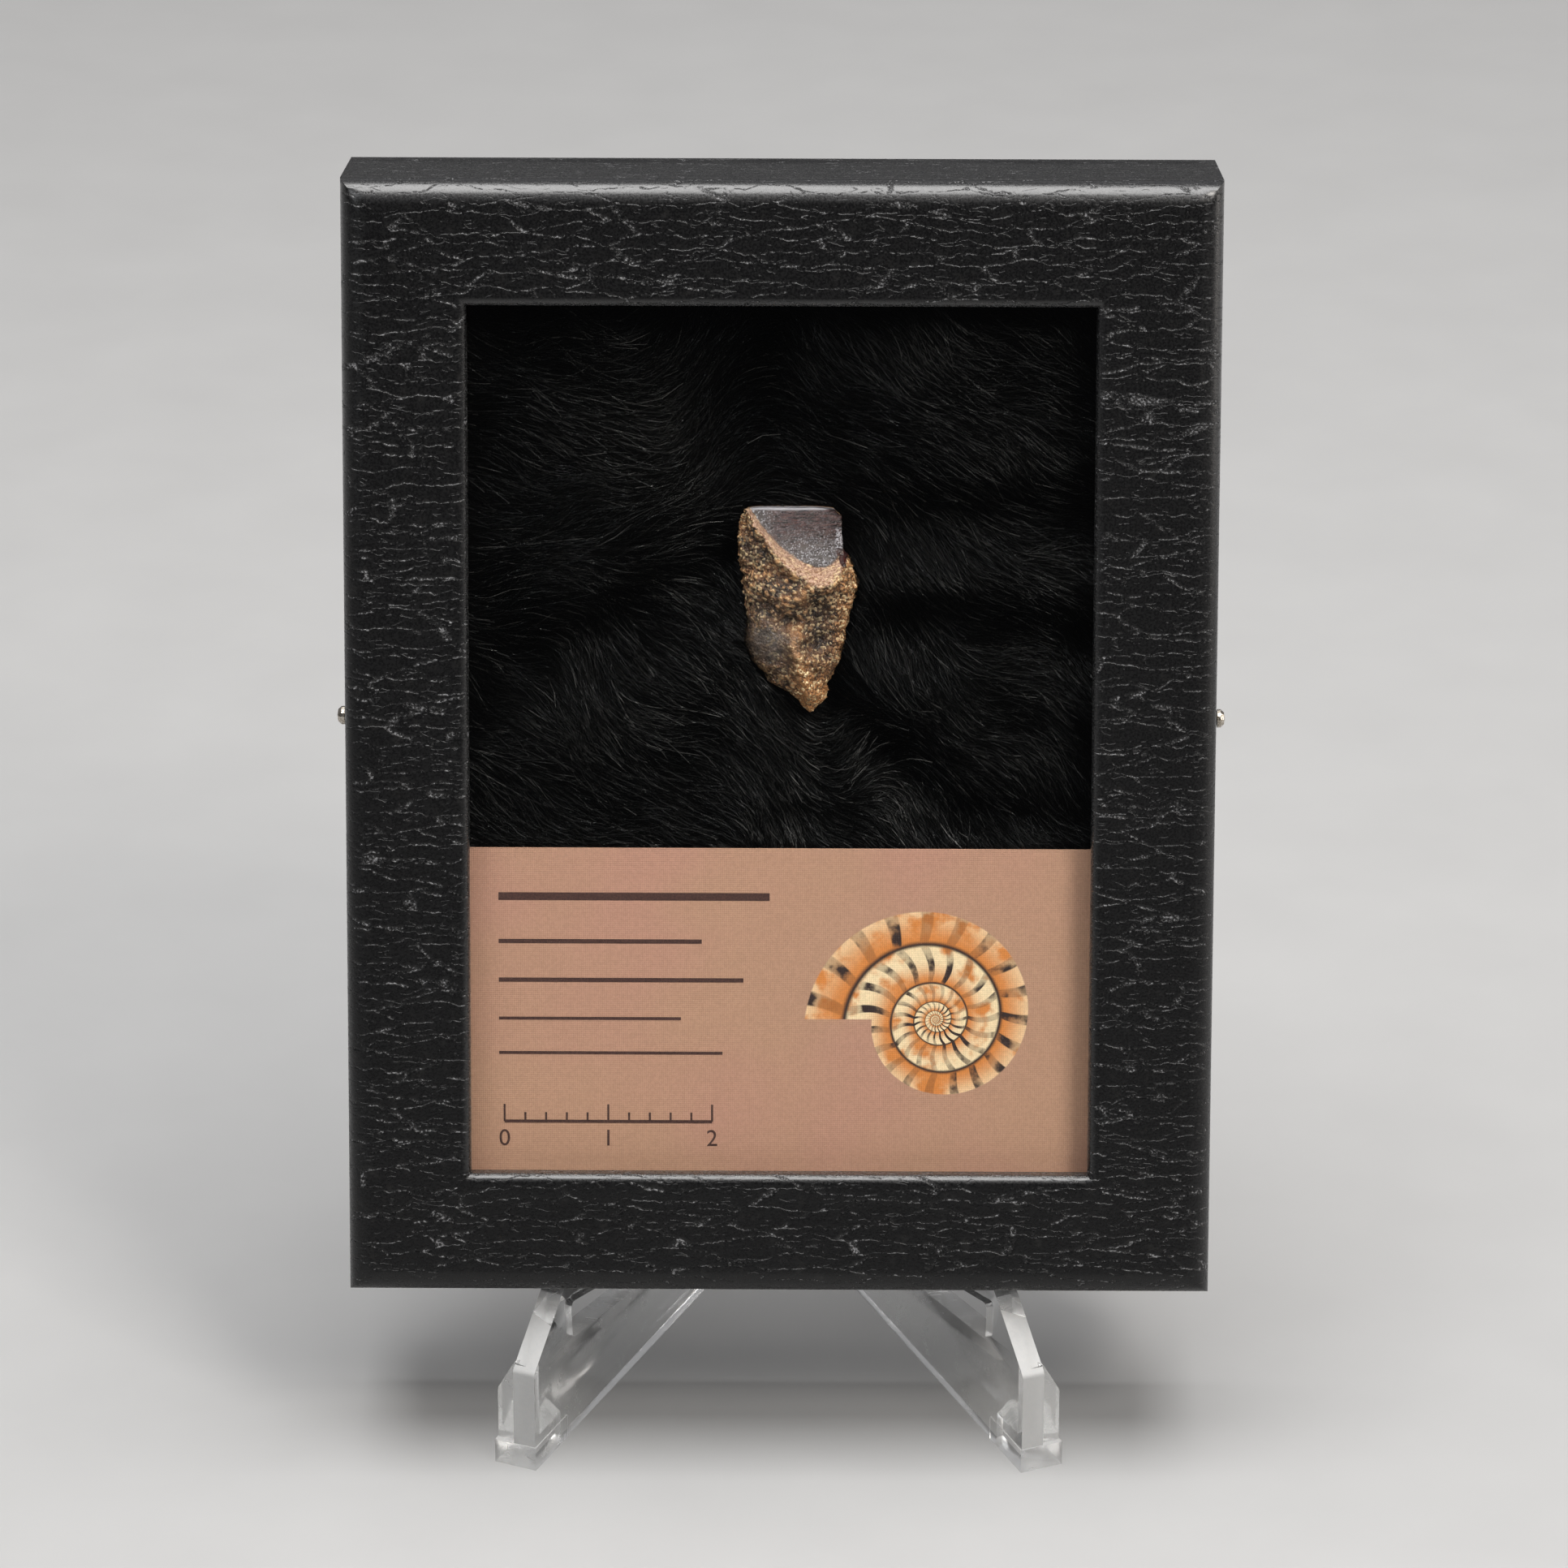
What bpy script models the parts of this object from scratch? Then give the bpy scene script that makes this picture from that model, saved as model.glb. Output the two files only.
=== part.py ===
"""Fossil triceratops tooth on black fur in a small glazed display case, on a clear easel.

Metres, +Z up, front towards -Y. The origin is on the floor at the middle of the whole object.
The case is drawn standing upright in its own frame (X across, Y back from its front face,
Z up from its lower front edge) and an empty leans it back on the easel.
"""
import math

import bmesh
import bpy
from mathutils import Matrix, Vector, noise

# Case
CASE_WIDTH = 0.0830
CASE_HEIGHT = 0.1078
CASE_DEPTH = 0.0190
CASE_LEAN = math.radians(14.0)
FRAME_BORDER = 0.0119
BOARD = 0.0020
LID_WALL = 0.0016
FRONT_ROUND = 0.0023
WINDOW_ROUND = 0.0009
ROUND_STEPS = 5
GAP = 0.0003
GLASS = 0.0010
TRAY_WALL = 0.0014
TRAY_BACK = 0.0016
TRAY_EDGE = 0.0002

# Label card behind the glass
CARD_WIDTH = 0.0750
CARD_TOP = 0.0433
CARD_BOTTOM = 0.0053
CARD_THICKNESS = 0.0004
CARD_CORNER = 0.0015

# Side pins
PIN_HEIGHT = 0.0550
PIN_DEPTH = 0.0095
PIN_SHANK = 0.0004
PIN_HEAD = 0.0009
PIN_HEAD_THICKNESS = 0.0009
PIN_STEPS = 16

# Tooth: place of its reference point in the case, and its form about that point
TOOTH_X = 0.0
TOOTH_Z = CASE_HEIGHT / 2
TOOTH_DEPTH = 0.0078
TOOTH_TOP = 0.0219
TOOTH_TIP = 0.0020
TOOTH_COLUMNS = 54
TOOTH_ROWS = 50
TIP_SQUARENESS = 2.4
CROWN_SQUARENESS = 2.9
TOOTH_KNOB = 0.00030
TOOTH_KNOB_SIZE = 0.0013

# Fur bed
BED_COLUMNS = 34
BED_ROWS = 44
BED_LEVEL = 0.0054
BED_FRONT = 0.0040
NEST_X = 0.0015
NEST_Z = 0.0112
NEST_RADIUS = 0.0098
NEST_DEPTH = 0.0030
NEST_CLEARANCE = 0.0006

# Easel
LEAF_SPREAD = math.radians(24.0)
LEAF_THICKNESS = 0.0023
LEAF_LENGTH = 0.0680
LEAF_FRONT_GAP = 0.0472
LEDGE_FRONT_HEIGHT = 0.0180
CASE_SETBACK = 0.0028
LEAF_TOP = 0.0540
FOOT_WIDTH = 0.0043
FOOT_HEIGHT = 0.0025
FOOT_LENGTH = 0.0070
FOOT_PROUD = 0.0001
FLANGE_SETBACK = 0.0005
FLANGE_THICKNESS = 0.0020
FLANGE_INSET = 0.0001
FLANGE_SHOULDER = 0.0080
FLANGE_TOP = 0.0114
LEAF_ROUND = 0.0007

REAR_REACH = LEAF_LENGTH * math.cos(LEAF_SPREAD) + LEAF_THICKNESS * math.sin(LEAF_SPREAD)
FOOT_REACH = FOOT_PROUD * (math.cos(LEAF_SPREAD) + math.sin(LEAF_SPREAD))
FLOOR_FRONT = (FOOT_REACH - REAR_REACH) / 2

# Left and right edges of the tooth seen from the front, (x, height) from its reference point
TOOTH_LEFT = [
    (0.0026, 0.0020), (0.0019, 0.0032), (0.0010, 0.0041), (-0.0012, 0.0051), (-0.0029, 0.0072),
    (-0.0036, 0.0090), (-0.0033, 0.0110), (-0.0036, 0.0140), (-0.0040, 0.0170),
    (-0.0043, 0.0187), (-0.0040, 0.0203), (-0.0035, 0.0219),
]
TOOTH_RIGHT = [
    (0.0029, 0.0020), (0.0040, 0.0033), (0.0050, 0.0060), (0.0060, 0.0088), (0.0066, 0.0118),
    (0.0073, 0.0143), (0.0070, 0.0162), (0.0059, 0.0178), (0.0057, 0.0210), (0.0048, 0.0219),
]
# How far the tooth stands towards the front and the back of its middle, (distance, height)
TOOTH_FRONT = [
    (0.0008, 0.0020), (0.0018, 0.0042), (0.0031, 0.0080), (0.0034, 0.0125), (0.0032, 0.0165),
    (0.0024, 0.0195), (0.0015, 0.0219),
]
TOOTH_REAR = [
    (0.0010, 0.0020), (0.0024, 0.0050), (0.0036, 0.0090), (0.0040, 0.0140), (0.0034, 0.0185),
    (0.0020, 0.0219),
]

# Front of the root: its ridge down to the tip, the brow under the shelf, and its hollows,
# the last as (depth, radius, x, height)
RIDGE = [(0.0010, 0.0104), (0.0018, 0.0075), (0.0027, 0.0040)]
BROW = [(-0.0024, 0.0145), (0.0004, 0.0131), (0.0030, 0.0142), (0.0056, 0.0150)]
HOLLOWS = [
    (0.0010, 0.0009, 0.0009, 0.0114),
    (0.0007, 0.0011, 0.0037, 0.0120),
    (0.0006, 0.0010, 0.0040, 0.0096),
    (0.0005, 0.0009, -0.0018, 0.0125),
    (0.0004, 0.0010, -0.0028, 0.0178),
]

# Folds of the fur, (depth, half-width, points) with points (x, height) from the case's middle
FOLDS = [
    (0.0030, 0.0027, [(-0.0380, 0.0030), (-0.0157, 0.0100), (-0.0080, 0.0152), (-0.0041, 0.0160)]),
    (0.0026, 0.0026, [(0.0060, 0.0199), (0.0180, 0.0207), (0.0380, 0.0202)]),
    (0.0024, 0.0022, [(0.0115, 0.0105), (0.0192, 0.0109), (0.0380, 0.0072)]),
    (0.0014, 0.0018, [(0.0026, 0.0022), (0.0042, -0.0066), (0.0018, -0.0098)]),
    (0.0024, 0.0022, [(0.0049, 0.0038), (0.0092, -0.0014), (0.0155, -0.0069), (0.0270, -0.0120)]),
    (0.0034, 0.0060, [(-0.0020, 0.0250), (-0.0035, 0.0330), (-0.0030, 0.0500)]),
]
# Raised masses of the fur, (height towards the glass, radius, x, height)
MASSES = [
    (0.0009, 0.0100, -0.0140, 0.0010),
    (0.0008, 0.0080, 0.0030, -0.0060),
    (0.0007, 0.0060, 0.0235, 0.0140),
    (0.0006, 0.0090, -0.0200, 0.0250),
    (0.0006, 0.0090, 0.0200, 0.0290),
]


def clear_scene():
    for thing in list(bpy.data.objects):
        bpy.data.objects.remove(thing)


def make_collection(name):
    group = bpy.data.collections.new(name)
    bpy.context.scene.collection.children.link(group)
    return group


def make_material(name, colour, roughness, metallic=0.0, transmission=0.0):
    material = bpy.data.materials.new(name)
    material.use_nodes = True
    shader = material.node_tree.nodes["Principled BSDF"]
    shader.inputs["Base Color"].default_value = (*colour, 1.0)
    shader.inputs["Roughness"].default_value = roughness
    shader.inputs["Metallic"].default_value = metallic
    shader.inputs["Transmission Weight"].default_value = transmission
    return material


def make_object(name, bm, group, material=None, parent=None):
    """An object from a finished bmesh, in the parent's frame."""
    mesh = bpy.data.meshes.new(name)
    bm.to_mesh(mesh)
    bm.free()
    thing = bpy.data.objects.new(name, mesh)
    group.objects.link(thing)
    thing.parent = parent
    if material:
        mesh.materials.append(material)
    return thing


def make_empty(name, group, matrix):
    empty = bpy.data.objects.new(name, None)
    empty.matrix_world = matrix
    group.objects.link(empty)
    return empty


def smooth(thing, degrees):
    thing.data.shade_smooth()
    thing.data.set_sharp_from_angle(angle=math.radians(degrees))


def box(low, high):
    """A bmesh box between two corners."""
    bm = bmesh.new()
    size = [b - a for a, b in zip(low, high)]
    middle = [(a + b) / 2 for a, b in zip(low, high)]
    bmesh.ops.create_cube(bm, size=1.0, matrix=Matrix.Translation(middle) @ Matrix.Diagonal((*size, 1.0)))
    return bm


def cutter(name, bm, group, parent=None):
    thing = make_object(name, bm, group, parent=parent)
    thing.hide_render = True
    thing.display_type = "WIRE"
    return thing


def boolean(thing, other, operation):
    modifier = thing.modifiers.new(other.name, "BOOLEAN")
    modifier.operation = operation
    modifier.object = other
    modifier.solver = "EXACT"


def bevel(thing, width, segments):
    modifier = thing.modifiers.new("edges", "BEVEL")
    modifier.width = width
    modifier.segments = segments
    modifier.limit_method = "ANGLE"
    modifier.angle_limit = math.radians(40)


def arc(centre, radius, start, end, steps):
    """Points of an arc in degrees, both ends included."""
    points = []
    for i in range(steps + 1):
        angle = math.radians(start + (end - start) * i / steps)
        points.append((centre[0] + radius * math.cos(angle), centre[1] + radius * math.sin(angle)))
    return points


def rounded(points, radius, steps=3):
    """A closed outline with each corner rounded, or left sharp where its radius is None."""
    result = []
    count = len(points)
    for i, (x, y, keep) in enumerate(points):
        here = Vector((x, y))
        if keep:
            result.append(here)
            continue
        before = (Vector(points[i - 1][:2]) - here).normalized()
        after = (Vector(points[(i + 1) % count][:2]) - here).normalized()
        half = before.angle(after) / 2
        reach = radius / math.tan(half)
        start = here + before * reach
        end = here + after * reach
        for k in range(steps + 1):
            t = k / steps
            result.append(start * (1 - t) ** 2 + here * 2 * t * (1 - t) + end * t ** 2)
    return result


def between(table, height):
    """The first value of a (value, height) table at a height, eased between its rows."""
    if height <= table[0][1]:
        return table[0][0]
    for (low, a), (high, b) in zip(table, table[1:]):
        if height <= b:
            t = (height - a) / (b - a)
            return low + (high - low) * t
    return table[-1][0]


def near_line(x, z, points):
    """Distance from a point to a polyline."""
    best = 1.0
    here = Vector((x, z))
    for a, b in zip(points, points[1:]):
        a, b = Vector(a), Vector(b)
        t = max(0.0, min(1.0, (here - a).dot(b - a) / (b - a).length_squared))
        best = min(best, (here - a.lerp(b, t)).length)
    return best


def bell(distance, width):
    return math.exp(-0.5 * (distance / width) ** 2)


def step(value, low, high):
    t = max(0.0, min(1.0, (value - low) / (high - low)))
    return t * t * (3 - 2 * t)


# Case

def ring(profile, width, height):
    """A rectangular frame: a profile of (distance in from the outline, depth) turned in four."""
    bm = bmesh.new()
    half = width / 2
    corner = math.sqrt(2)
    loop = []
    for inward, depth in profile:
        loop.append(bm.verts.new(((half - inward) * corner, depth, 0.0)))
    edges = []
    for i, vert in enumerate(loop):
        edges.append(bm.edges.new((vert, loop[(i + 1) % len(loop)])))
    quarter = Matrix.Rotation(math.radians(45), 3, "Y")
    bmesh.ops.rotate(bm, verts=loop, cent=(0, 0, 0), matrix=quarter)
    bmesh.ops.spin(bm, geom=loop + edges, cent=(0, 0, 0), axis=(0, 1, 0), angle=math.tau, steps=4, use_merge=True)
    bmesh.ops.remove_doubles(bm, verts=bm.verts, dist=1e-6)
    stretch = (height - width) / 2
    for vert in bm.verts:
        vert.co.z += math.copysign(stretch, vert.co.z) + height / 2
    bmesh.ops.recalc_face_normals(bm, faces=bm.faces)
    return bm


def lid_profile():
    """Round front edge, flat border, eased window edge, and the side wall behind."""
    outer = arc((FRONT_ROUND, FRONT_ROUND), FRONT_ROUND, 180, 270, ROUND_STEPS)
    inner = arc((FRAME_BORDER - WINDOW_ROUND, WINDOW_ROUND), WINDOW_ROUND, 270, 360, 3)
    back = [(FRAME_BORDER, BOARD), (LID_WALL, BOARD), (LID_WALL, CASE_DEPTH), (0.0, CASE_DEPTH)]
    return outer + inner + back


def build_lid(group, cutters, parent):
    wrap = make_material("black_leatherette", (0.012, 0.012, 0.014), 0.42)
    lid = make_object("lid", ring(lid_profile(), CASE_WIDTH, CASE_HEIGHT), group, wrap, parent)
    smooth(lid, 35)
    return lid


def build_glass(group, parent):
    clear = make_material("window_glass", (0.96, 0.97, 0.97), 0.02, transmission=1.0)
    inset = LID_WALL + GAP
    low = (-CASE_WIDTH / 2 + inset, BOARD + GAP, inset)
    high = (CASE_WIDTH / 2 - inset, BOARD + GAP + GLASS, CASE_HEIGHT - inset)
    return make_object("window_glass", box(low, high), group, clear, parent)


def tray_front():
    return BOARD + GAP + GLASS + GAP


def build_tray(group, cutters, parent):
    board = make_material("black_card", (0.014, 0.014, 0.015), 0.62)
    inset = LID_WALL + GAP
    half = CASE_WIDTH / 2 - inset
    outer = box((-half, tray_front(), inset), (half, CASE_DEPTH, CASE_HEIGHT - inset))
    tray = make_object("base_tray", outer, group, board, parent)
    bevel(tray, TRAY_EDGE, 1)
    low = (-half + TRAY_WALL, -CASE_DEPTH, inset + TRAY_WALL)
    high = (half - TRAY_WALL, CASE_DEPTH - TRAY_BACK, CASE_HEIGHT - inset - TRAY_WALL)
    boolean(tray, cutter("tray_hollow", box(low, high), cutters, parent), "DIFFERENCE")
    return tray


def build_card(group, parent):
    card_stock = make_material("printed_card", (0.42, 0.31, 0.25), 0.45)
    front = tray_front()
    low = (-CARD_WIDTH / 2, front, CARD_BOTTOM)
    high = (CARD_WIDTH / 2, front + CARD_THICKNESS, CARD_TOP)
    bm = box(low, high)
    corners = []
    for edge in bm.edges:
        if abs(edge.verts[0].co.y - edge.verts[1].co.y) > CARD_THICKNESS / 2:
            corners.append(edge)
    bmesh.ops.bevel(bm, geom=corners, offset=CARD_CORNER, segments=3, affect="EDGES", profile=0.5)
    return make_object("label_card", bm, group, card_stock, parent)


def pin_profile():
    """Half section of a pin along its length: point, shank, and a domed head outside the wall."""
    seat = CASE_WIDTH / 2 + GAP
    tip = CASE_WIDTH / 2 - LID_WALL - GAP - TRAY_WALL + GAP
    points = [(0.0, tip), (PIN_SHANK, tip + 2 * PIN_SHANK), (PIN_SHANK, seat)]
    points.append((PIN_HEAD, seat + PIN_HEAD_THICKNESS / 6))
    points.append((PIN_HEAD, seat + PIN_HEAD_THICKNESS / 2))
    points.append((PIN_HEAD * 0.66, seat + PIN_HEAD_THICKNESS * 0.88))
    points.append((0.0, seat + PIN_HEAD_THICKNESS))
    return points


def turned(profile):
    """A profile of (radius, place along X) turned about the X axis."""
    bm = bmesh.new()
    verts = [bm.verts.new((along, 0.0, radius)) for radius, along in profile]
    edges = [bm.edges.new(pair) for pair in zip(verts, verts[1:])]
    bmesh.ops.spin(
        bm, geom=verts + edges, cent=(0, 0, 0), axis=(1, 0, 0), angle=math.tau, steps=PIN_STEPS, use_merge=True
    )
    bmesh.ops.remove_doubles(bm, verts=bm.verts, dist=1e-6)
    bmesh.ops.recalc_face_normals(bm, faces=bm.faces)
    return bm


def build_pins(group, cutters, parent, lid, tray):
    """Short pins that hold the lid on the tray, one through each side."""
    steel = make_material("pin_steel", (0.62, 0.60, 0.56), 0.25, metallic=1.0)
    place = Matrix.Translation((0.0, PIN_DEPTH, PIN_HEIGHT))
    hole = PIN_SHANK + GAP
    for side, turn in (("left", math.pi), ("right", 0.0)):
        spot = place @ Matrix.Rotation(turn, 4, "Z")
        bm = turned(pin_profile())
        bmesh.ops.transform(bm, matrix=spot, verts=bm.verts)
        pin = make_object("pin_" + side, bm, group, steel, parent)
        smooth(pin, 50)
        bm = turned([(0.0, CASE_WIDTH / 3), (hole, CASE_WIDTH / 3), (hole, CASE_WIDTH), (0.0, CASE_WIDTH)])
        bmesh.ops.transform(bm, matrix=spot, verts=bm.verts)
        drill = cutter("pin_hole_" + side, bm, cutters, parent)
        boolean(lid, drill, "DIFFERENCE")
        boolean(tray, drill, "DIFFERENCE")


# Tooth

def enamel_edge(x):
    """Height of the lower border of the enamel face across the tooth."""
    low_x, low_z = 0.0037, 0.0162
    if x < low_x:
        return low_z + 0.0058 * ((low_x - x) / 0.0070) ** 1.7
    return low_z + 0.0007 * ((x - low_x) / 0.0016) ** 2


def tooth_front_relief(x, z):
    """How far the front stands out at a place: enamel face, shelf, ridge and hollows."""
    above = z - enamel_edge(x)
    relief = -0.0012 * step(above, -0.0002, 0.0006)
    relief -= 0.0004 * bell(math.hypot(x - 0.0026, z - 0.0192), 0.0018) * step(above, 0.0, 0.0010)
    relief += 0.0005 * bell(above + 0.0009, 0.0006)
    relief += 0.0007 * bell(near_line(x, z, RIDGE), 0.0007)
    relief += 0.0004 * bell(near_line(x, z, BROW), 0.0007)
    for depth, radius, centre_x, centre_z in HOLLOWS:
        relief -= depth * bell(math.hypot(x - centre_x, z - centre_z), radius)
    return relief


def tooth_knobs(x, y, z):
    """Lumps of the root, fading out over the enamel and its smooth shelf."""
    lumps = noise.noise(Vector((x, y, z)) / TOOTH_KNOB_SIZE)
    lumps += 0.5 * noise.noise(Vector((x + 0.01, y, z)) / (TOOTH_KNOB_SIZE / 2))
    above = z - enamel_edge(x)
    return TOOTH_KNOB * lumps * (1.0 - 0.85 * step(above, -0.0020, -0.0004))


def tooth_mesh(columns, rows, grow=0.0, detail=True):
    """A ball drawn out to the tooth's outline and sections, its front and knobs raised."""
    bm = bmesh.new()
    bmesh.ops.create_uvsphere(bm, u_segments=columns, v_segments=rows, radius=1.0)
    for vert in bm.verts:
        across, back, up = vert.co
        z = TOOTH_TIP + (TOOTH_TOP - TOOTH_TIP) * (up + 1) / 2
        left, right = between(TOOTH_LEFT, z) - grow, between(TOOTH_RIGHT, z) + grow
        girth = math.hypot(across, back)
        closing = min(1.0, girth / 0.2) ** 0.5
        around = math.atan2(back, across)
        power = 2 / (TIP_SQUARENESS + (CROWN_SQUARENESS - TIP_SQUARENESS) * (up + 1) / 2)
        side = math.copysign(abs(math.cos(around)) ** power, across) * closing
        facing = math.copysign(abs(math.sin(around)) ** power, back) * closing
        x = (left + right) / 2 + (right - left) / 2 * side
        thickness = between(TOOTH_REAR if facing > 0 else TOOTH_FRONT, z) + grow
        y = thickness * facing
        if detail:
            if facing < 0:
                y -= tooth_front_relief(x, z) * min(1.0, -facing * 1.6) * closing
            knob = tooth_knobs(x, y, z)
            x += knob * math.cos(around) * closing
            y += knob * math.sin(around) * closing
        rise = grow * up
        vert.co = (TOOTH_X + x, TOOTH_DEPTH + y, TOOTH_Z + z + rise)
    return bm


def build_tooth(group, parent):
    bone = make_material("fossil_root_and_enamel", (0.33, 0.20, 0.11), 0.6)
    tooth = make_object("tooth", tooth_mesh(TOOTH_COLUMNS, TOOTH_ROWS), group, bone, parent)
    smooth(tooth, 60)
    return tooth


# Fur bed

def fur_depth(x, z):
    """Depth of the fur's tips behind the case's front; x and z from the case's middle."""
    depth = BED_LEVEL
    for fold, width, points in FOLDS:
        away = near_line(x, z, points)
        depth += fold * bell(away, width) - 0.25 * fold * bell(away - 2.6 * width, width)
    for rise, radius, centre_x, centre_z in MASSES:
        depth -= rise * bell(math.hypot(x - centre_x, z - centre_z), radius)
    depth += NEST_DEPTH * bell(math.hypot((x - NEST_X) / 0.8, z - NEST_Z), NEST_RADIUS)
    depth = max(depth, BED_FRONT)
    card_back = tray_front() + CARD_THICKNESS + GAP
    card_edge = CARD_TOP - CASE_HEIGHT / 2
    under_card = 1.0 - step(z, card_edge + 0.0006, card_edge + 0.0030)
    return depth + (card_back + GAP - depth) * under_card


def build_fur(group, cutters, parent):
    pile = make_material("black_fur", (0.010, 0.010, 0.011), 0.55)
    inset = LID_WALL + GAP + TRAY_WALL + GAP
    width = CASE_WIDTH - 2 * inset
    height = CASE_HEIGHT - 2 * inset
    back = CASE_DEPTH - TRAY_BACK - GAP
    bm = bmesh.new()
    bmesh.ops.create_grid(bm, x_segments=BED_COLUMNS, y_segments=BED_ROWS, size=0.5)
    for vert in bm.verts:
        x, z = vert.co.x * width, vert.co.y * height
        vert.co = (x, fur_depth(x, z), z + CASE_HEIGHT / 2)
    rim = [edge for edge in bm.edges if edge.is_boundary]
    skirt = bmesh.ops.extrude_edge_only(bm, edges=rim)["geom"]
    for part in skirt:
        if isinstance(part, bmesh.types.BMVert):
            part.co.y = back
    bmesh.ops.holes_fill(bm, edges=[edge for edge in bm.edges if edge.is_boundary])
    bmesh.ops.recalc_face_normals(bm, faces=bm.faces)
    bed = make_object("fur_bed", bm, group, pile, parent)
    smooth(bed, 70)
    nest = tooth_mesh(24, 20, grow=NEST_CLEARANCE, detail=False)
    boolean(bed, cutter("tooth_nest", nest, cutters, parent), "DIFFERENCE")
    return bed


# Easel

def leaf_outline():
    """Side view of a leaf, (along, up, sharp corner); the case's seat is cut out afterwards."""
    return [
        (0.0, 0.0, True),
        (0.0, 0.0106, False),
        (0.0140, 0.0232, False),
        (0.0290, LEAF_TOP, False),
        (0.0400, LEAF_TOP, False),
        (LEAF_LENGTH, 0.0090, False),
        (LEAF_LENGTH, 0.0, True),
    ]


def leaf_holes():
    """The slim gap under the seat and the large triangle behind the back rest."""
    slim = [(0.0086, 0.0103, False), (0.0245, 0.0082, False), (0.0215, 0.0114, False), (0.0083, 0.0144, False)]
    large = [(0.0286, 0.0090, False), (0.0372, 0.0390, False), (0.0505, 0.0170, False), (0.0505, 0.0090, False)]
    return [slim, large]


def plate(outlines, thickness, group):
    """A flat plate from closed outlines, its thickness along local Z, below Z = 0."""
    curve = bpy.data.curves.new("plate_outline", "CURVE")
    curve.dimensions = "2D"
    curve.fill_mode = "BOTH"
    curve.extrude = thickness / 2
    for outline in outlines:
        spline = curve.splines.new("POLY")
        spline.points.add(len(outline) - 1)
        for point, place in zip(spline.points, outline):
            point.co = (place[0], place[1], 0.0, 1.0)
        spline.use_cyclic_u = True
    drawn = bpy.data.objects.new("plate_outline", curve)
    group.objects.link(drawn)
    evaluated = drawn.evaluated_get(bpy.context.evaluated_depsgraph_get())
    mesh = bpy.data.meshes.new_from_object(evaluated)
    bm = bmesh.new()
    bm.from_mesh(mesh)
    bpy.data.objects.remove(drawn)
    bpy.data.meshes.remove(mesh)
    bmesh.ops.remove_doubles(bm, verts=bm.verts, dist=1e-6)
    bmesh.ops.translate(bm, vec=(0, 0, -thickness / 2), verts=bm.verts)
    bmesh.ops.recalc_face_normals(bm, faces=bm.faces)
    return bm


def leaf_matrix():
    """Left leaf: local X runs back along the floor, local Y up, local Z to its inner side."""
    along = Vector((math.sin(LEAF_SPREAD), math.cos(LEAF_SPREAD), 0.0))
    up = Vector((0.0, 0.0, 1.0))
    inner = along.cross(up)
    turn = Matrix((along, up, inner)).transposed().to_4x4()
    return Matrix.Translation((-LEAF_FRONT_GAP / 2, FLOOR_FRONT, 0.0)) @ turn


def placed(bm, mirrored, extra=Matrix()):
    """Moves a leaf's piece to its place, on the left or mirrored to the right."""
    bmesh.ops.transform(bm, matrix=leaf_matrix() @ extra, verts=bm.verts)
    if mirrored:
        bmesh.ops.scale(bm, vec=(-1, 1, 1), verts=bm.verts)
        bmesh.ops.reverse_faces(bm, faces=bm.faces)
    return bm


def flange_outline():
    """Front view of the flange beside a leaf, (outward, up), rooted in the leaf and the foot."""
    root = LEAF_THICKNESS / 2
    outer = FOOT_WIDTH - FLANGE_INSET
    base = FOOT_HEIGHT / 2
    return rounded(
        [
            (root, base, True),
            (outer, base, True),
            (outer, FLANGE_SHOULDER, False),
            (LEAF_THICKNESS, FLANGE_TOP, False),
            (root, FLANGE_TOP, True),
        ],
        LEAF_ROUND,
    )


def slot_cutter(side, cutters):
    """The other leaf's plate with its clearance, over the half of the crossing that is cut away."""
    crossing = LEAF_FRONT_GAP / 2 / math.sin(LEAF_SPREAD)
    half_height = 0.0118
    low_z, high_z = (half_height - GAP / 2, LEAF_TOP) if side == "left" else (-0.01, half_height + GAP / 2)
    reach = LEAF_LENGTH - crossing + 0.005
    bm = box((crossing - reach, low_z, -LEAF_THICKNESS - GAP), (crossing + reach, high_z, GAP))
    return cutter("slot_" + side, placed(bm, side == "left"), cutters)


def build_easel(group, cutters, case_pose):
    """Two clear leaves that cross behind the case and lock by a half slot in each."""
    clear = make_material("clear_acrylic", (0.93, 0.95, 0.95), 0.05, transmission=1.0)
    low = (-CASE_WIDTH, -CASE_DEPTH * 2, -GAP)
    high = (CASE_WIDTH, CASE_DEPTH + GAP, CASE_HEIGHT)
    seat = cutter("case_seat", box(low, high), cutters, case_pose)
    outlines = [rounded(leaf_outline(), LEAF_ROUND)]
    for hole in leaf_holes():
        outlines.append(rounded(hole, LEAF_ROUND))
    for side in ("left", "right"):
        mirrored = side == "right"
        sheet = placed(plate(outlines, LEAF_THICKNESS, cutters), mirrored)
        leaf = make_object("easel_leaf_" + side, sheet, group, clear)
        foot = box((-FOOT_PROUD, 0.0, -FOOT_WIDTH), (FOOT_LENGTH, FOOT_HEIGHT, FOOT_PROUD))
        boolean(leaf, cutter("foot_" + side, placed(foot, mirrored), cutters), "UNION")
        turn = Matrix.Translation((FLANGE_SETBACK + FLANGE_THICKNESS, 0.0, 0.0)) @ Matrix.Rotation(math.radians(90), 4, "Y")
        flange = placed(plate([flange_outline()], FLANGE_THICKNESS, cutters), mirrored, turn)
        boolean(leaf, cutter("flange_" + side, flange, cutters), "UNION")
        boolean(leaf, seat, "DIFFERENCE")
        boolean(leaf, slot_cutter(side, cutters), "DIFFERENCE")
        smooth(leaf, 30)


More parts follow.
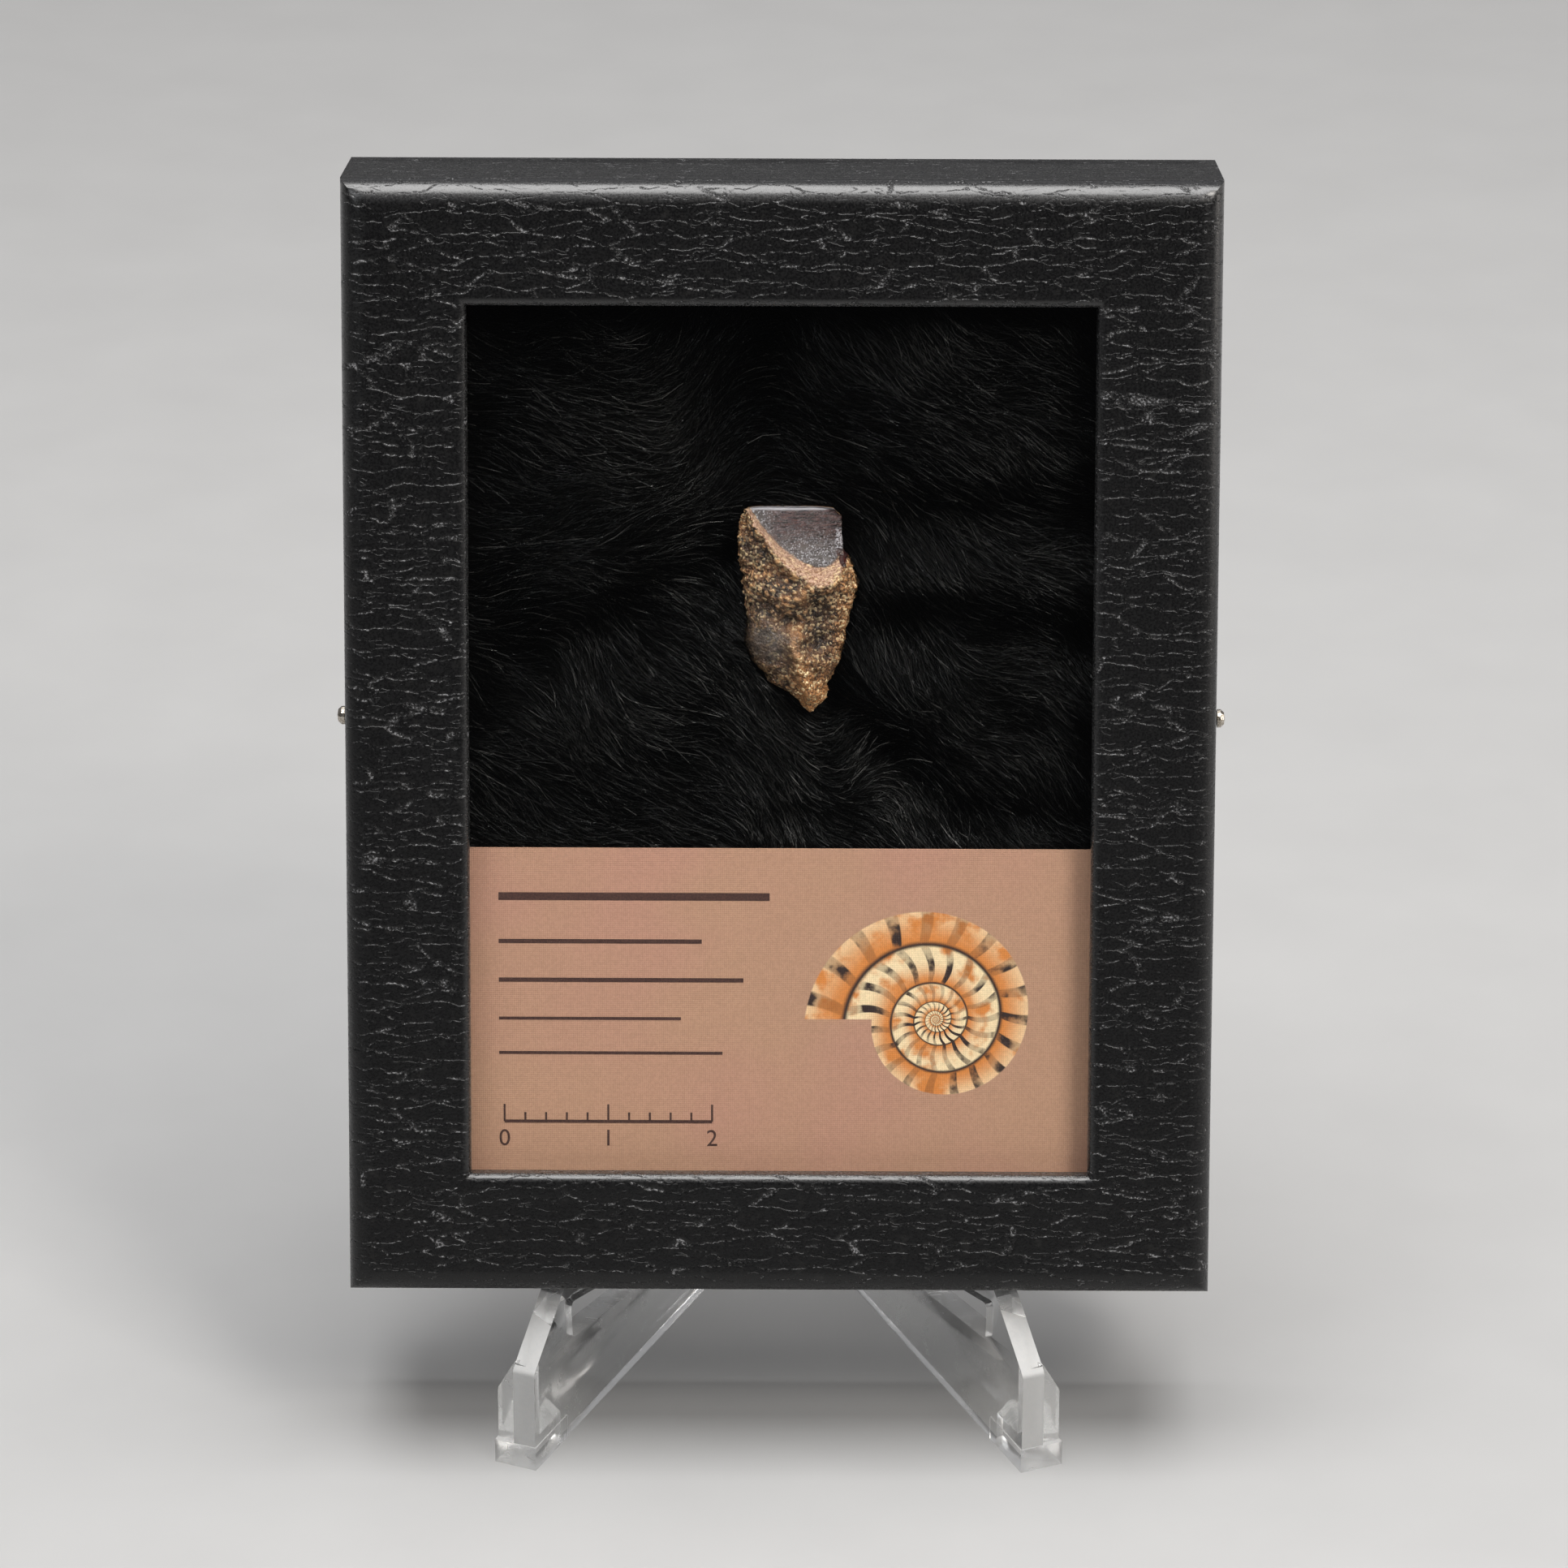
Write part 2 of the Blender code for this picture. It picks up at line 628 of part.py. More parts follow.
def build():
    clear_scene()
    group = make_collection("triceratops_tooth_display")
    cutters = make_collection("cutters")
    place = Matrix.Translation((0.0, FLOOR_FRONT + CASE_SETBACK, LEDGE_FRONT_HEIGHT))
    case_pose = make_empty("case_pose", group, place @ Matrix.Rotation(-CASE_LEAN, 4, "X"))
    lid = build_lid(group, cutters, case_pose)
    build_glass(group, case_pose)
    tray = build_tray(group, cutters, case_pose)
    build_card(group, case_pose)
    build_pins(group, cutters, case_pose, lid, tray)
    build_tooth(group, case_pose)
    build_fur(group, cutters, case_pose)
    build_easel(group, cutters, case_pose)


build()
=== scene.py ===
import math

import bmesh
import bpy
import numpy as np
from mathutils import Matrix, Vector, noise


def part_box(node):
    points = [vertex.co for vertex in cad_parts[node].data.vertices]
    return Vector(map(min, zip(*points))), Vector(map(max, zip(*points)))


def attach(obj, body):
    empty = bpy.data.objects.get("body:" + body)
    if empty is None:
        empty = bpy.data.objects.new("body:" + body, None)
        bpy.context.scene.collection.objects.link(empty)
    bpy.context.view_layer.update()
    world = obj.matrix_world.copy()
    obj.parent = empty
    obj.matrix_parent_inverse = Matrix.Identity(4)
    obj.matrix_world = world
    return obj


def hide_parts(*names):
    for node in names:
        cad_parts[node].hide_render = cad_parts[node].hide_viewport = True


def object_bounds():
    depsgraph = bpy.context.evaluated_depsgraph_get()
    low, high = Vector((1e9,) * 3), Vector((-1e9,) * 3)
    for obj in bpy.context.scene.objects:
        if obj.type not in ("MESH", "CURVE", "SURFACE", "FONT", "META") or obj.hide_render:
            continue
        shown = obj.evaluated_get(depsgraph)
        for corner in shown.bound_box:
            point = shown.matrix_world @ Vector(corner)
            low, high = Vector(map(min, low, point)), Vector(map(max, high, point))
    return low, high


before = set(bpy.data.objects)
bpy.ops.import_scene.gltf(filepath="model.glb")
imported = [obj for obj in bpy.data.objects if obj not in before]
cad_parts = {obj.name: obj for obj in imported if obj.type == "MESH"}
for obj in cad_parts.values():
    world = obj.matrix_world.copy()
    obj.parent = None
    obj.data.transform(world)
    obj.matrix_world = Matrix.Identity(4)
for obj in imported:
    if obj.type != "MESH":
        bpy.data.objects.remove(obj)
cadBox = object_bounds()

# Looks of a fossil tooth on black fur in a small glazed display case, on a clear easel.
# The case's own frame: X across, Y back from its front face, Z up from its lower front edge.

caseForm = {
    "lean": math.radians(14.0),
    "width": 0.0830,
    "height": 0.1078,
    "depth": 0.0190,
    "glassFront": 0.0023,
    "glassBack": 0.0033,
    "glassEdge": 0.0019,  # from the case's outline to the glass
    "trayFront": 0.0036,
    "innerEdge": 0.0036,  # from the outline to the inside of the tray's walls
}
middleHeight = caseForm["height"] / 2


def casePose():
    # worked out from the glass, a plain box in the case's frame
    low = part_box("window_glass")[0]
    across, up = math.cos(caseForm["lean"]), math.sin(caseForm["lean"])
    depth = low[1] - caseForm["glassFront"] * across - caseForm["glassEdge"] * up
    height = low[2] - caseForm["glassEdge"] * across + caseForm["glassBack"] * up
    return Matrix.Translation((0.0, depth, height)) @ Matrix.Rotation(-caseForm["lean"], 4, "X")


pose = casePose()
body = "root"


# Small tools for meshes and node trees

def newObject(name, bm, materials, matrix=None, smoothAngle=None):
    if matrix:
        bmesh.ops.transform(bm, matrix=matrix, verts=bm.verts)
    mesh = bpy.data.meshes.new(name)
    bm.to_mesh(mesh)
    bm.free()
    return objectOf(name, mesh, materials, smoothAngle)


def objectOf(name, mesh, materials, smoothAngle=None):
    thing = bpy.data.objects.new(name, mesh)
    bpy.context.scene.collection.objects.link(thing)
    for material in materials:
        mesh.materials.append(material)
    if smoothAngle is not None:
        mesh.shade_smooth()
        mesh.set_sharp_from_angle(angle=math.radians(smoothAngle))
    return thing


def gridMesh(name, points, faces, matrix):
    # a mesh from numpy points in the case's frame
    turn = np.array(matrix.to_3x3())
    mesh = bpy.data.meshes.new(name)
    mesh.from_pydata((points @ turn.T + np.array(matrix.translation)).tolist(), [], faces)
    return mesh


def fill(node, inputs):
    for key, value in inputs.items():
        if isinstance(value, bpy.types.NodeSocket):
            node.id_data.links.new(value, node.inputs[key])
        else:
            node.inputs[key].default_value = value
    return node


def add(tree, kind, inputs=None, **settings):
    node = tree.nodes.new(kind)
    for key, value in settings.items():
        setattr(node, key, value)
    return fill(node, inputs or {})


def join(kind, inputs, **settings):
    # the outputs of a new node, in the tree of the sockets that feed it
    tree = next(value.id_data for value in inputs.values() if isinstance(value, bpy.types.NodeSocket))
    return add(tree, kind, inputs, **settings).outputs


def maths(operation, *values):
    return join("ShaderNodeMath", dict(enumerate(values)), operation=operation)[0]


def vectors(operation, *values):
    return join("ShaderNodeVectorMath", dict(enumerate(values)), operation=operation)[0]


def times(first, *others):
    for value in others:
        first = maths("MULTIPLY", first, value)
    return first


def plus(first, second):
    return maths("ADD", first, second)


def minus(first, second):
    return maths("SUBTRACT", first, second)


def larger(first, second):
    return maths("MAXIMUM", first, second)


def scaled(value, factor, shift):
    return maths("MULTIPLY_ADD", value, factor, shift)


def mixColour(factor, first, second):
    return join("ShaderNodeMix", {0: factor, 6: first, 7: second}, data_type="RGBA")[2]


def mixValue(factor, first, second):
    return join("ShaderNodeMix", {0: factor, 2: first, 3: second})[0]


def spread(value, low, high, toLow=0.0, toHigh=1.0, kind="SMOOTHSTEP"):
    inputs = {0: value, 1: low, 2: high, 3: toLow, 4: toHigh}
    return join("ShaderNodeMapRange", inputs, interpolation_type=kind)[0]


def clouds(spot, scale, detail, roughness=0.5):
    inputs = {"Vector": spot, "Scale": scale, "Detail": detail, "Roughness": roughness}
    return join("ShaderNodeTexNoise", inputs)[0]


def cells(spot, scale, feature="F1"):
    return join("ShaderNodeTexVoronoi", {"Vector": spot, "Scale": scale}, feature=feature)


def cracks(spot, scale):
    return cells(spot, scale, "DISTANCE_TO_EDGE")["Distance"]


def parts(spot):
    return join("ShaderNodeSeparateXYZ", {0: spot})


def channels(colour):
    return join("ShaderNodeSeparateColor", {0: colour})


def stretched(spot, scale, turn=(0.0, 0.0, 0.0)):
    return join("ShaderNodeMapping", {"Vector": spot, "Rotation": turn, "Scale": scale})[0]


def srgb(*values):
    values = [value / 255 for value in values]
    return (*(value / 12.92 if value <= 0.04045 else ((value + 0.055) / 1.055) ** 2.4 for value in values), 1.0)


def newMaterial(name, **sockets):
    material = bpy.data.materials.new(name)
    material.use_nodes = True
    shader = material.node_tree.nodes["Principled BSDF"]
    fill(shader, {key.replace("_", " "): value for key, value in sockets.items()})
    return material, material.node_tree, shader


def dress(shader, colour, roughness, height=None, depth=0.0):
    fill(shader, {"Base Color": colour, "Roughness": roughness})
    if height is not None:
        fill(shader, {"Normal": join("ShaderNodeBump", {"Height": height, "Distance": depth})[0]})


def letLampsThrough(shader, tint):
    # rays from lamps, and those that scatter off rough surfaces, pass clear stuff and light what is behind it
    tree = shader.id_data
    paths = add(tree, "ShaderNodeLightPath")
    clear = add(tree, "ShaderNodeBsdfTransparent", {"Color": (tint, tint, tint, 1.0)}).outputs[0]
    mixed = shader.outputs[0]
    for kind in ("Is Diffuse Ray", "Is Shadow Ray"):
        mixed = join("ShaderNodeMixShader", {0: paths.outputs[kind], 1: mixed, 2: clear})[0]
    fill(tree.nodes["Material Output"], {"Surface": mixed})


def place(tree, group, **inputs):
    return add(tree, "ShaderNodeGroup", inputs, node_tree=group).outputs


# Shader groups used by more than one finish

def newGroup(name, inputs, outputs):
    group = bpy.data.node_groups.new(name, "ShaderNodeTree")
    group.interface.new_socket("Place", in_out="INPUT", socket_type="NodeSocketVector")
    for label, value in inputs.items():
        socket = group.interface.new_socket(label, in_out="INPUT", socket_type="NodeSocketFloat")
        socket.default_value = value
    for label in outputs:
        group.interface.new_socket(label, in_out="OUTPUT", socket_type="NodeSocketFloat")
    return group, group.nodes.new("NodeGroupInput").outputs, group.nodes.new("NodeGroupOutput")


def makeCasePlace():
    # a point of the surface in the case's frame, in millimetres
    group = bpy.data.node_groups.new("casePlace", "ShaderNodeTree")
    group.interface.new_socket("Place", in_out="OUTPUT", socket_type="NodeSocketVector")
    back = pose.inverted()
    coords = add(group, "ShaderNodeTexCoord").outputs["Object"]
    spot = stretched(coords, (1000.0, 1000.0, 1000.0), tuple(back.to_euler()))
    fill(spot.node, {"Location": tuple(value * 1000 for value in back.translation)})
    fill(group.nodes.new("NodeGroupOutput"), {0: spot})
    return group


def makeFineGrain():
    # speckle of a few sizes at once, as a mask and as a height
    group, entry, leave = newGroup("fineGrain", {"Size": 1.0, "Sharp": 0.5}, ("Mask", "Height"))
    cloud = clouds(entry["Place"], maths("DIVIDE", 1.0, entry["Size"]), 5.0, 0.6)
    half = minus(0.2, times(entry["Sharp"], 0.18))
    fill(leave, {0: spread(cloud, minus(0.5, half), plus(0.5, half)), 1: cloud})
    return group


def makeScuffs():
    # hair-thin scratches and hazy smears of handled clear plastic and glass
    group, entry, leave = newGroup("scuffs", {"Scratch": 0.5, "Haze": 0.5}, ("Mask",))
    total = 0.0
    for turn, stretch in ((0.4, 14.0), (-0.9, 9.0)):
        lines = stretched(entry["Place"], (1.0 / stretch, 1.1, 1.1), (turn, turn * 0.6, turn))
        total = larger(spread(cracks(lines, 1.4), 0.0, 0.02, 1.0, 0.0), total)
    total = times(total, spread(clouds(entry["Place"], 0.5, 3.0), 0.5, 0.65), entry["Scratch"])
    hazy = times(spread(clouds(entry["Place"], 0.12, 4.0), 0.45, 0.7), entry["Haze"])
    fill(leave, {0: plus(total, hazy)})
    return group


casePlace = makeCasePlace()
fineGrain = makeFineGrain()
scuffs = makeScuffs()
print("shared shader groups ready")


# Camera, light and floor

view = {
    "azimuth": math.radians(0.28),
    "elevation": math.radians(25.49),
    "roll": math.radians(0.1),
    "distance": 0.667,
    "target": (0.00043, cadBox[0][1] - 0.00014, 0.0741),
    "lens": 165.2,
}


def makeCamera():
    data = bpy.data.cameras.new("camera")
    data.lens = view["lens"]
    data.sensor_width = 36.0
    data.clip_start = 0.01
    camera = bpy.data.objects.new("camera", data)
    bpy.context.scene.collection.objects.link(camera)
    flat = math.cos(view["elevation"])
    away = Vector((math.sin(view["azimuth"]) * flat, -math.cos(view["azimuth"]) * flat, math.sin(view["elevation"])))
    camera.location = Vector(view["target"]) + away * view["distance"]
    turn = (-away).to_track_quat("-Z", "Y").to_matrix() @ Matrix.Rotation(view["roll"], 3, "Z")
    camera.rotation_euler = turn.to_euler()
    bpy.context.scene.camera = camera


lights = {
    # place, aim, size (width, length), watts, colour
    "above": ((0.0, -0.04, 0.85), (0.0, -0.02, 0.0), (0.80, 0.62), 13.5, (1.0, 0.99, 0.98)),
    "key": ((0.52, -0.62, 0.85), (0.0, 0.0, 0.06), (0.35, 0.35), 8.5, (1.0, 0.955, 0.90)),
    "fill": ((-0.60, -0.75, 0.70), (0.0, 0.0, 0.06), (0.50, 0.40), 1.8, (0.95, 0.98, 1.0)),
    "side": ((1.00, 0.05, 0.30), (0.0, 0.0, 0.06), (0.30, 0.50), 3.0, (1.0, 0.94, 0.88)),
}


def makeLights():
    for name, (spot, aim, size, watts, colour) in lights.items():
        data = bpy.data.lights.new(name, "AREA")
        data.shape = "RECTANGLE"
        data.size, data.size_y = size
        data.energy = watts
        data.color = colour
        lamp = bpy.data.objects.new(name, data)
        bpy.context.scene.collection.objects.link(lamp)
        lamp.location = spot
        lamp.rotation_euler = (Vector(aim) - Vector(spot)).to_track_quat("-Z", "Y").to_euler()


def makeWorld():
    # a pale room that is dark only low in front, where the window's glass mirrors it
    world = bpy.data.worlds.new("studio")
    bpy.context.scene.world = world
    world.use_nodes = True
    tree = world.node_tree
    way = parts(add(tree, "ShaderNodeTexCoord").outputs["Generated"])
    lit = larger(times(spread(way[1], -0.25, 0.45), spread(way[2], -0.05, 0.45)), spread(way[2], 0.35, 0.80))
    tone = mixColour(lit, (0.015, 0.015, 0.016, 1), (0.34, 0.34, 0.35, 1))
    seen = add(tree, "ShaderNodeLightPath").outputs["Is Camera Ray"]
    fill(tree.nodes["Background"], {"Color": mixColour(seen, tone, (0.72, 0.72, 0.73, 1))})


def makeFloor():
    material, tree, shader = newMaterial("paleFloor", Roughness=0.7)
    cloud = clouds(add(tree, "ShaderNodeTexCoord").outputs["Object"], 60.0, 6.0)
    fill(shader, {"Base Color": mixColour(cloud, (0.27, 0.27, 0.27, 1), (0.30, 0.30, 0.30, 1))})
    bm = bmesh.new()
    bmesh.ops.create_grid(bm, x_segments=1, y_segments=1, size=3.0, matrix=Matrix.Translation((0, 0, -0.00004)))
    newObject("floor", bm, [material])


makeCamera()
makeLights()
makeWorld()
makeFloor()
bpy.context.scene.view_settings.view_transform = "Standard"
print("camera, light and floor ready")


# Lid: card frame wrapped in crinkled black leatherette

lidForm = {
    "border": 0.0119,
    "board": 0.0020,
    "wall": 0.0016,
    "frontRound": 0.0023,
    "windowRound": 0.0009,
    "inset": 0.00003,  # keeps the finer round within the solid's box
    "step": 0.0012,  # length of one strip of mesh along a side
    "wave": 0.00005,  # unevenness of paper over card
}

leatherette = {
    "colour": (0.0032, 0.0032, 0.0035, 1),
    "rubbed": (0.0085, 0.0083, 0.0082, 1),
    "wearAndSheen": (0.150, 0.150, 0.155, 1),  # painted glints on grains along the creases
    "roughness": 0.31,
    "creaseLength": 9.0,  # millimetres
    "creaseGap": 1.55,
    "creaseDepth": 0.085,
    "pores": 0.40,
    "edgeShine": 0.9,
}


def makeLeatherette():
    material, tree, shader = newMaterial("leatherette", Specular_IOR_Level=0.30, Coat_Roughness=0.26)
    paper, shine = leatherette, leatherette["edgeShine"]
    around = add(tree, "ShaderNodeAttribute", attribute_name="wrapPlace").outputs["Vector"]
    # creases run level across the paper, wander a little and break into grains
    bent = around
    for size, reach in ((0.25, 1.4), (1.2, 0.5)):
        wobble = vectors("SUBTRACT", clouds(around, size, 1.0).node.outputs["Color"], (0.5, 0.5, 0.5))
        bent = vectors("ADD", bent, vectors("MULTIPLY", wobble, (reach, reach, 0.0)))
    long = stretched(bent, (1.0 / paper["creaseLength"], 1.0 / paper["creaseGap"], 1.0))
    broken = clouds(around, 0.7, 4.0, 0.65)
    crease = times(spread(cracks(long, 1.0), 0.0, 0.06, 1.0, 0.0), spread(broken, 0.44, 0.58))
    fold = times(spread(cracks(long, 2.1), 0.0, 0.05, 0.45, 0.0), spread(broken, 0.48, 0.40))
    speckle, grit = place(tree, fineGrain, Place=around, Size=0.24, Sharp=0.5)
    lines = times(larger(crease, fold), scaled(speckle, 0.8, 0.45))
    tint = mixColour(spread(broken, 0.55, 0.75), paper["colour"], paper["rubbed"])
    # pale colour on grains along the creases: a painted glint
    tint = mixColour(times(spread(lines, 0.45, 0.95), spread(grit, 0.50, 0.62)), tint, paper["wearAndSheen"])
    rough = spread(speckle, 0.0, 1.0, paper["roughness"] - 0.07, paper["roughness"] + 0.08)
    dress(shader, tint, rough, minus(times(grit, paper["pores"]), lines), paper["creaseDepth"] / 1000)
    # the rounded outer edge is handled most and shines, most of all along the top
    across = parts(around)
    sideways = minus(maths("ABSOLUTE", across[0]), caseForm["width"] * 500)
    past = larger(sideways, minus(maths("ABSOLUTE", across[1]), caseForm["height"] * 500))
    edge = times(spread(past, -2.7, -1.7), spread(past, 0.5, 1.4, 1.0, 0.0), spread(across[1], 5.0, 48.0, 0.1, shine))
    edge = larger(edge, spread(past, -11.6, -10.9, shine, 0.0))
    unbroken = times(spread(lines, 0.08, 0.45, 1.0, 0.15), spread(speckle, 0.0, 1.0, 0.7, 1.0))
    fill(shader, {"Coat Weight": times(edge, unbroken)})
    return material


def arcPoints(centre, radius, start, end, steps):
    points = []
    for i in range(steps + 1):
        angle = math.radians(start + (end - start) * i / steps)
        points.append((centre[0] + radius * math.cos(angle), centre[1] + radius * math.sin(angle)))
    return points


def linePoints(start, end, step):
    count = max(1, round(math.dist(start, end) / step))
    return [tuple(a + (b - a) * i / count for a, b in zip(start, end)) for i in range(count)]


def lidSection():
    # half section of the frame as (inward, depth): side wall from its back edge, front, inside
    form = lidForm
    turn, window = form["frontRound"], form["windowRound"]
    back = (form["inset"], caseForm["depth"])
    points = linePoints(back, (form["inset"], turn), form["step"])
    points += arcPoints((turn, turn), turn - form["inset"], 180, 270, 14)
    points += linePoints((turn, form["inset"]), (form["border"] - window, form["inset"]), form["step"])[1:]
    points += arcPoints((form["border"] - window, window), window - form["inset"], 270, 360, 8)
    inner = [(form["border"] - form["inset"], form["board"]), (form["wall"], form["board"]), (form["wall"], back[1])]
    return points + inner


def makeLid(material):
    section = lidSection()
    unrolled = [0.0]
    for a, b in zip(section, section[1:]):
        unrolled.append(unrolled[-1] + math.dist(a, b))
    flat = section.index(min(section, key=lambda p: abs(p[0] - lidForm["frontRound"]) + p[1]))
    unrolled = [value - unrolled[flat] + lidForm["frontRound"] for value in unrolled]
    halfWidth, halfHeight = caseForm["width"] / 2, caseForm["height"] / 2
    bm = bmesh.new()
    layer = bm.loops.layers.float_vector.new("wrapPlace")
    for side in range(4):
        upright = side % 2 == 0
        sign = 1 if side in (0, 1) else -1
        reach, span = (halfWidth, halfHeight) if upright else (halfHeight, halfWidth)
        count = round(2 * span / lidForm["step"])
        rows = []
        for (inward, depth), paper in zip(section, unrolled):
            row = []
            for i in range(count + 1):
                along = (span - inward) * (2 * i / count - 1)
                across = sign * (reach - inward)
                x, z = (across, along) if upright else (along, across)
                unevenness = noise.noise(Vector((x, z, depth)) * 90) + 0.4 * noise.noise(Vector((x, z, depth)) * 260)
                shift = lidForm["wave"] * (unevenness - 1.4) if depth < caseForm["depth"] - 0.002 else 0.0
                facing = max(0.0, 1 - depth / lidForm["frontRound"]) if inward < lidForm["border"] - 0.001 else 0.0
                wall = 1.0 if inward < lidForm["frontRound"] and depth >= lidForm["frontRound"] else 0.0
                fade = min(1.0, (span - inward - abs(along)) / 0.003)
                draw = shift * wall * fade
                x, z = (x + sign * draw, z) if upright else (x, z + sign * draw)
                vert = bm.verts.new((x, depth - shift * facing, z + middleHeight))
                outward = sign * (reach - paper)
                row.append((vert, (outward, along) if upright else (along, outward)))
            rows.append(row)
        for lower, upper in zip(rows, rows[1:]):
            for i in range(count):
                corners = [lower[i], lower[i + 1], upper[i + 1], upper[i]]
                face = bm.faces.new([corner[0] for corner in corners])
                for loop, (_, spot) in zip(face.loops, corners):
                    loop[layer] = (spot[0] * 1000, spot[1] * 1000, side * 7.0)
    # the rear rim closes the section
    bmesh.ops.remove_doubles(bm, verts=bm.verts, dist=1e-5)
    rim = [edge for edge in bm.edges if edge.is_boundary]
    bmesh.ops.bridge_loops(bm, edges=rim)
    bmesh.ops.recalc_face_normals(bm, faces=bm.faces)
    lid = newObject("lidWrap", bm, [material], pose, 50)
    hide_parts("lid")
    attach(lid, body)


makeLid(makeLeatherette())
print("lid wrapped")


# Window glass and the tray of black card behind it

def makeGlass():
    sockets = {"Transmission_Weight": 1.0, "IOR": 1.5, "Base_Color": (0.97, 0.985, 0.98, 1)}
    material, tree, shader = newMaterial("windowGlass", **sockets)
    spot = place(tree, casePlace)[0]
    marks = place(tree, scuffs, Place=spot, Scratch=0.05, Haze=0.02)[0]
    # a wiped smear that runs down the lower left
    across = parts(spot)
    line = minus(across[0], times(across[2], 0.42))
    smear = spread(maths("ABSOLUTE", plus(line, 45.5)), 0.5, 3.0, 1.0, 0.0)
    fill(shader, {"Roughness": plus(marks, times(smear, 0.03))})
    letLampsThrough(shader, 0.96)
    return material


def makeBlackCard():
    material, tree, shader = newMaterial("blackCard", Specular_IOR_Level=0.4)
    spot = place(tree, casePlace)[0]
    speckle, grit = place(tree, fineGrain, Place=spot, Size=0.5, Sharp=0.2)
    fibres = clouds(stretched(spot, (0.6, 3.0, 3.0)), 1.2, 5.0)
    tone = mixColour(speckle, (0.010, 0.010, 0.0105, 1), (0.020, 0.0195, 0.019, 1))
    dress(shader, tone, spread(fibres, 0.3, 0.7, 0.5, 0.72), plus(grit, times(fibres, 0.6)), 0.00005)
    return material


def finish(node, *materials):
    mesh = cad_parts[node].data
    mesh.materials.clear()
    for material in materials:
        mesh.materials.append(material)


finish("window_glass", makeGlass())
finish("base_tray", makeBlackCard())


# Side pins

pinLook = {
    "size": 0.12,  # grain in millimetres
    "sharp": 0.6,
    "tones": (srgb(206, 200, 190), srgb(150, 140, 126)),
    "roughness": (0.18, 0.4),
    "relief": 0.00001,
}


def makeGrained(name, look, **sockets):
    # tone, gloss and relief all follow one fine grain
    material, tree, shader = newMaterial(name, **sockets)
    speckle, grit = place(tree, fineGrain, Place=place(tree, casePlace)[0], Size=look["size"], Sharp=look["sharp"])
    rough = spread(speckle, 0.0, 1.0, *look["roughness"])
    dress(shader, mixColour(speckle, *look["tones"]), rough, grit, look["relief"])
    return material


pinSteel = makeGrained("pinSteel", pinLook, Metallic=1.0)
finish("pin_left", pinSteel)
finish("pin_right", pinSteel)
print("glass, tray and pins finished")


# Tooth: enamel face, shelf, and knobbly root

tooth = {
    "depth": 0.0078,
    "top": 0.0219,
    "tip": 0.0020,
    "columns": 330,
    "rows": 290,
    "tipSquareness": 2.4,
    "crownSquareness": 2.9,
    "knob": 0.00036,
    "knobSize": 0.0013,
    "pebble": 0.00031,  # small round knobs of the upper root
    "pebbleSize": 0.00075,
    "sugar": 0.000115,  # crystalline grain
    "sugarSize": 0.00026,
    "stria": 0.000018,  # lines across the enamel
}
# edges of the tooth seen from the front, and its reach to the front and back, as (place, height)
toothLeft = [
    (0.0025, 0.0020), (0.0017, 0.0031), (0.0008, 0.0040), (-0.0012, 0.0051), (-0.0029, 0.0072),
    (-0.0036, 0.0090), (-0.0033, 0.0110), (-0.0036, 0.0140), (-0.0040, 0.0170),
    (-0.0043, 0.0187), (-0.0040, 0.0203), (-0.0035, 0.0219),
]
toothRight = [
    (0.0031, 0.0020), (0.0042, 0.0034), (0.0051, 0.0060), (0.0060, 0.0088), (0.0066, 0.0118),
    (0.0073, 0.0143), (0.0070, 0.0162), (0.0059, 0.0178), (0.0057, 0.0210), (0.0048, 0.0219),
]
toothFront = [
    (0.0008, 0.0020), (0.0018, 0.0042), (0.0031, 0.0080), (0.0034, 0.0125), (0.0032, 0.0165),
    (0.0024, 0.0195), (0.0015, 0.0219),
]
toothRear = [
    (0.0010, 0.0020), (0.0024, 0.0050), (0.0036, 0.0090), (0.0040, 0.0140), (0.0034, 0.0185),
    (0.0020, 0.0219),
]
ridgeLine = [(0.0010, 0.0104), (0.0018, 0.0075), (0.0027, 0.0040)]
browLine = [(-0.0024, 0.0145), (0.0004, 0.0131), (0.0030, 0.0142), (0.0056, 0.0150)]
hollows = [  # depth, radius, x, height
    (0.0015, 0.0008, 0.0008, 0.0110),
    (0.0011, 0.0010, 0.0036, 0.0119),
    (0.0010, 0.0010, 0.0036, 0.0094),
    (0.0008, 0.0006, 0.0026, 0.0088),
    (0.0005, 0.0009, -0.0018, 0.0125),
    (0.0004, 0.0010, -0.0028, 0.0178),
]


def between(table, height):
    if height <= table[0][1]:
        return table[0][0]
    for (low, a), (high, b) in zip(table, table[1:]):
        if height <= b:
            return low + (high - low) * (height - a) / (b - a)
    return table[-1][0]


def nearLine(x, z, points):
    best = 1.0
    for (ax, az), (bx, bz) in zip(points, points[1:]):
        dx, dz = bx - ax, bz - az
        t = max(0.0, min(1.0, ((x - ax) * dx + (z - az) * dz) / (dx * dx + dz * dz)))
        best = min(best, math.hypot(x - ax - dx * t, z - az - dz * t))
    return best


def bell(distance, width):
    return math.exp(-0.5 * (distance / width) ** 2)


def ease(value, low, high):
    t = max(0.0, min(1.0, (value - low) / (high - low)))
    return t * t * (3 - 2 * t)


def enamelEdge(x):
    lowX, lowZ = 0.0037, 0.0162
    if x < lowX:
        return lowZ + 0.0058 * ((lowX - x) / 0.0070) ** 1.7
    return lowZ + 0.0007 * ((x - lowX) / 0.0016) ** 2


def ledgeWidth(x):
    # the pale shelf under the enamel widens to the right
    return 0.0005 + 0.0008 * ease(x, -0.0030, 0.0045)


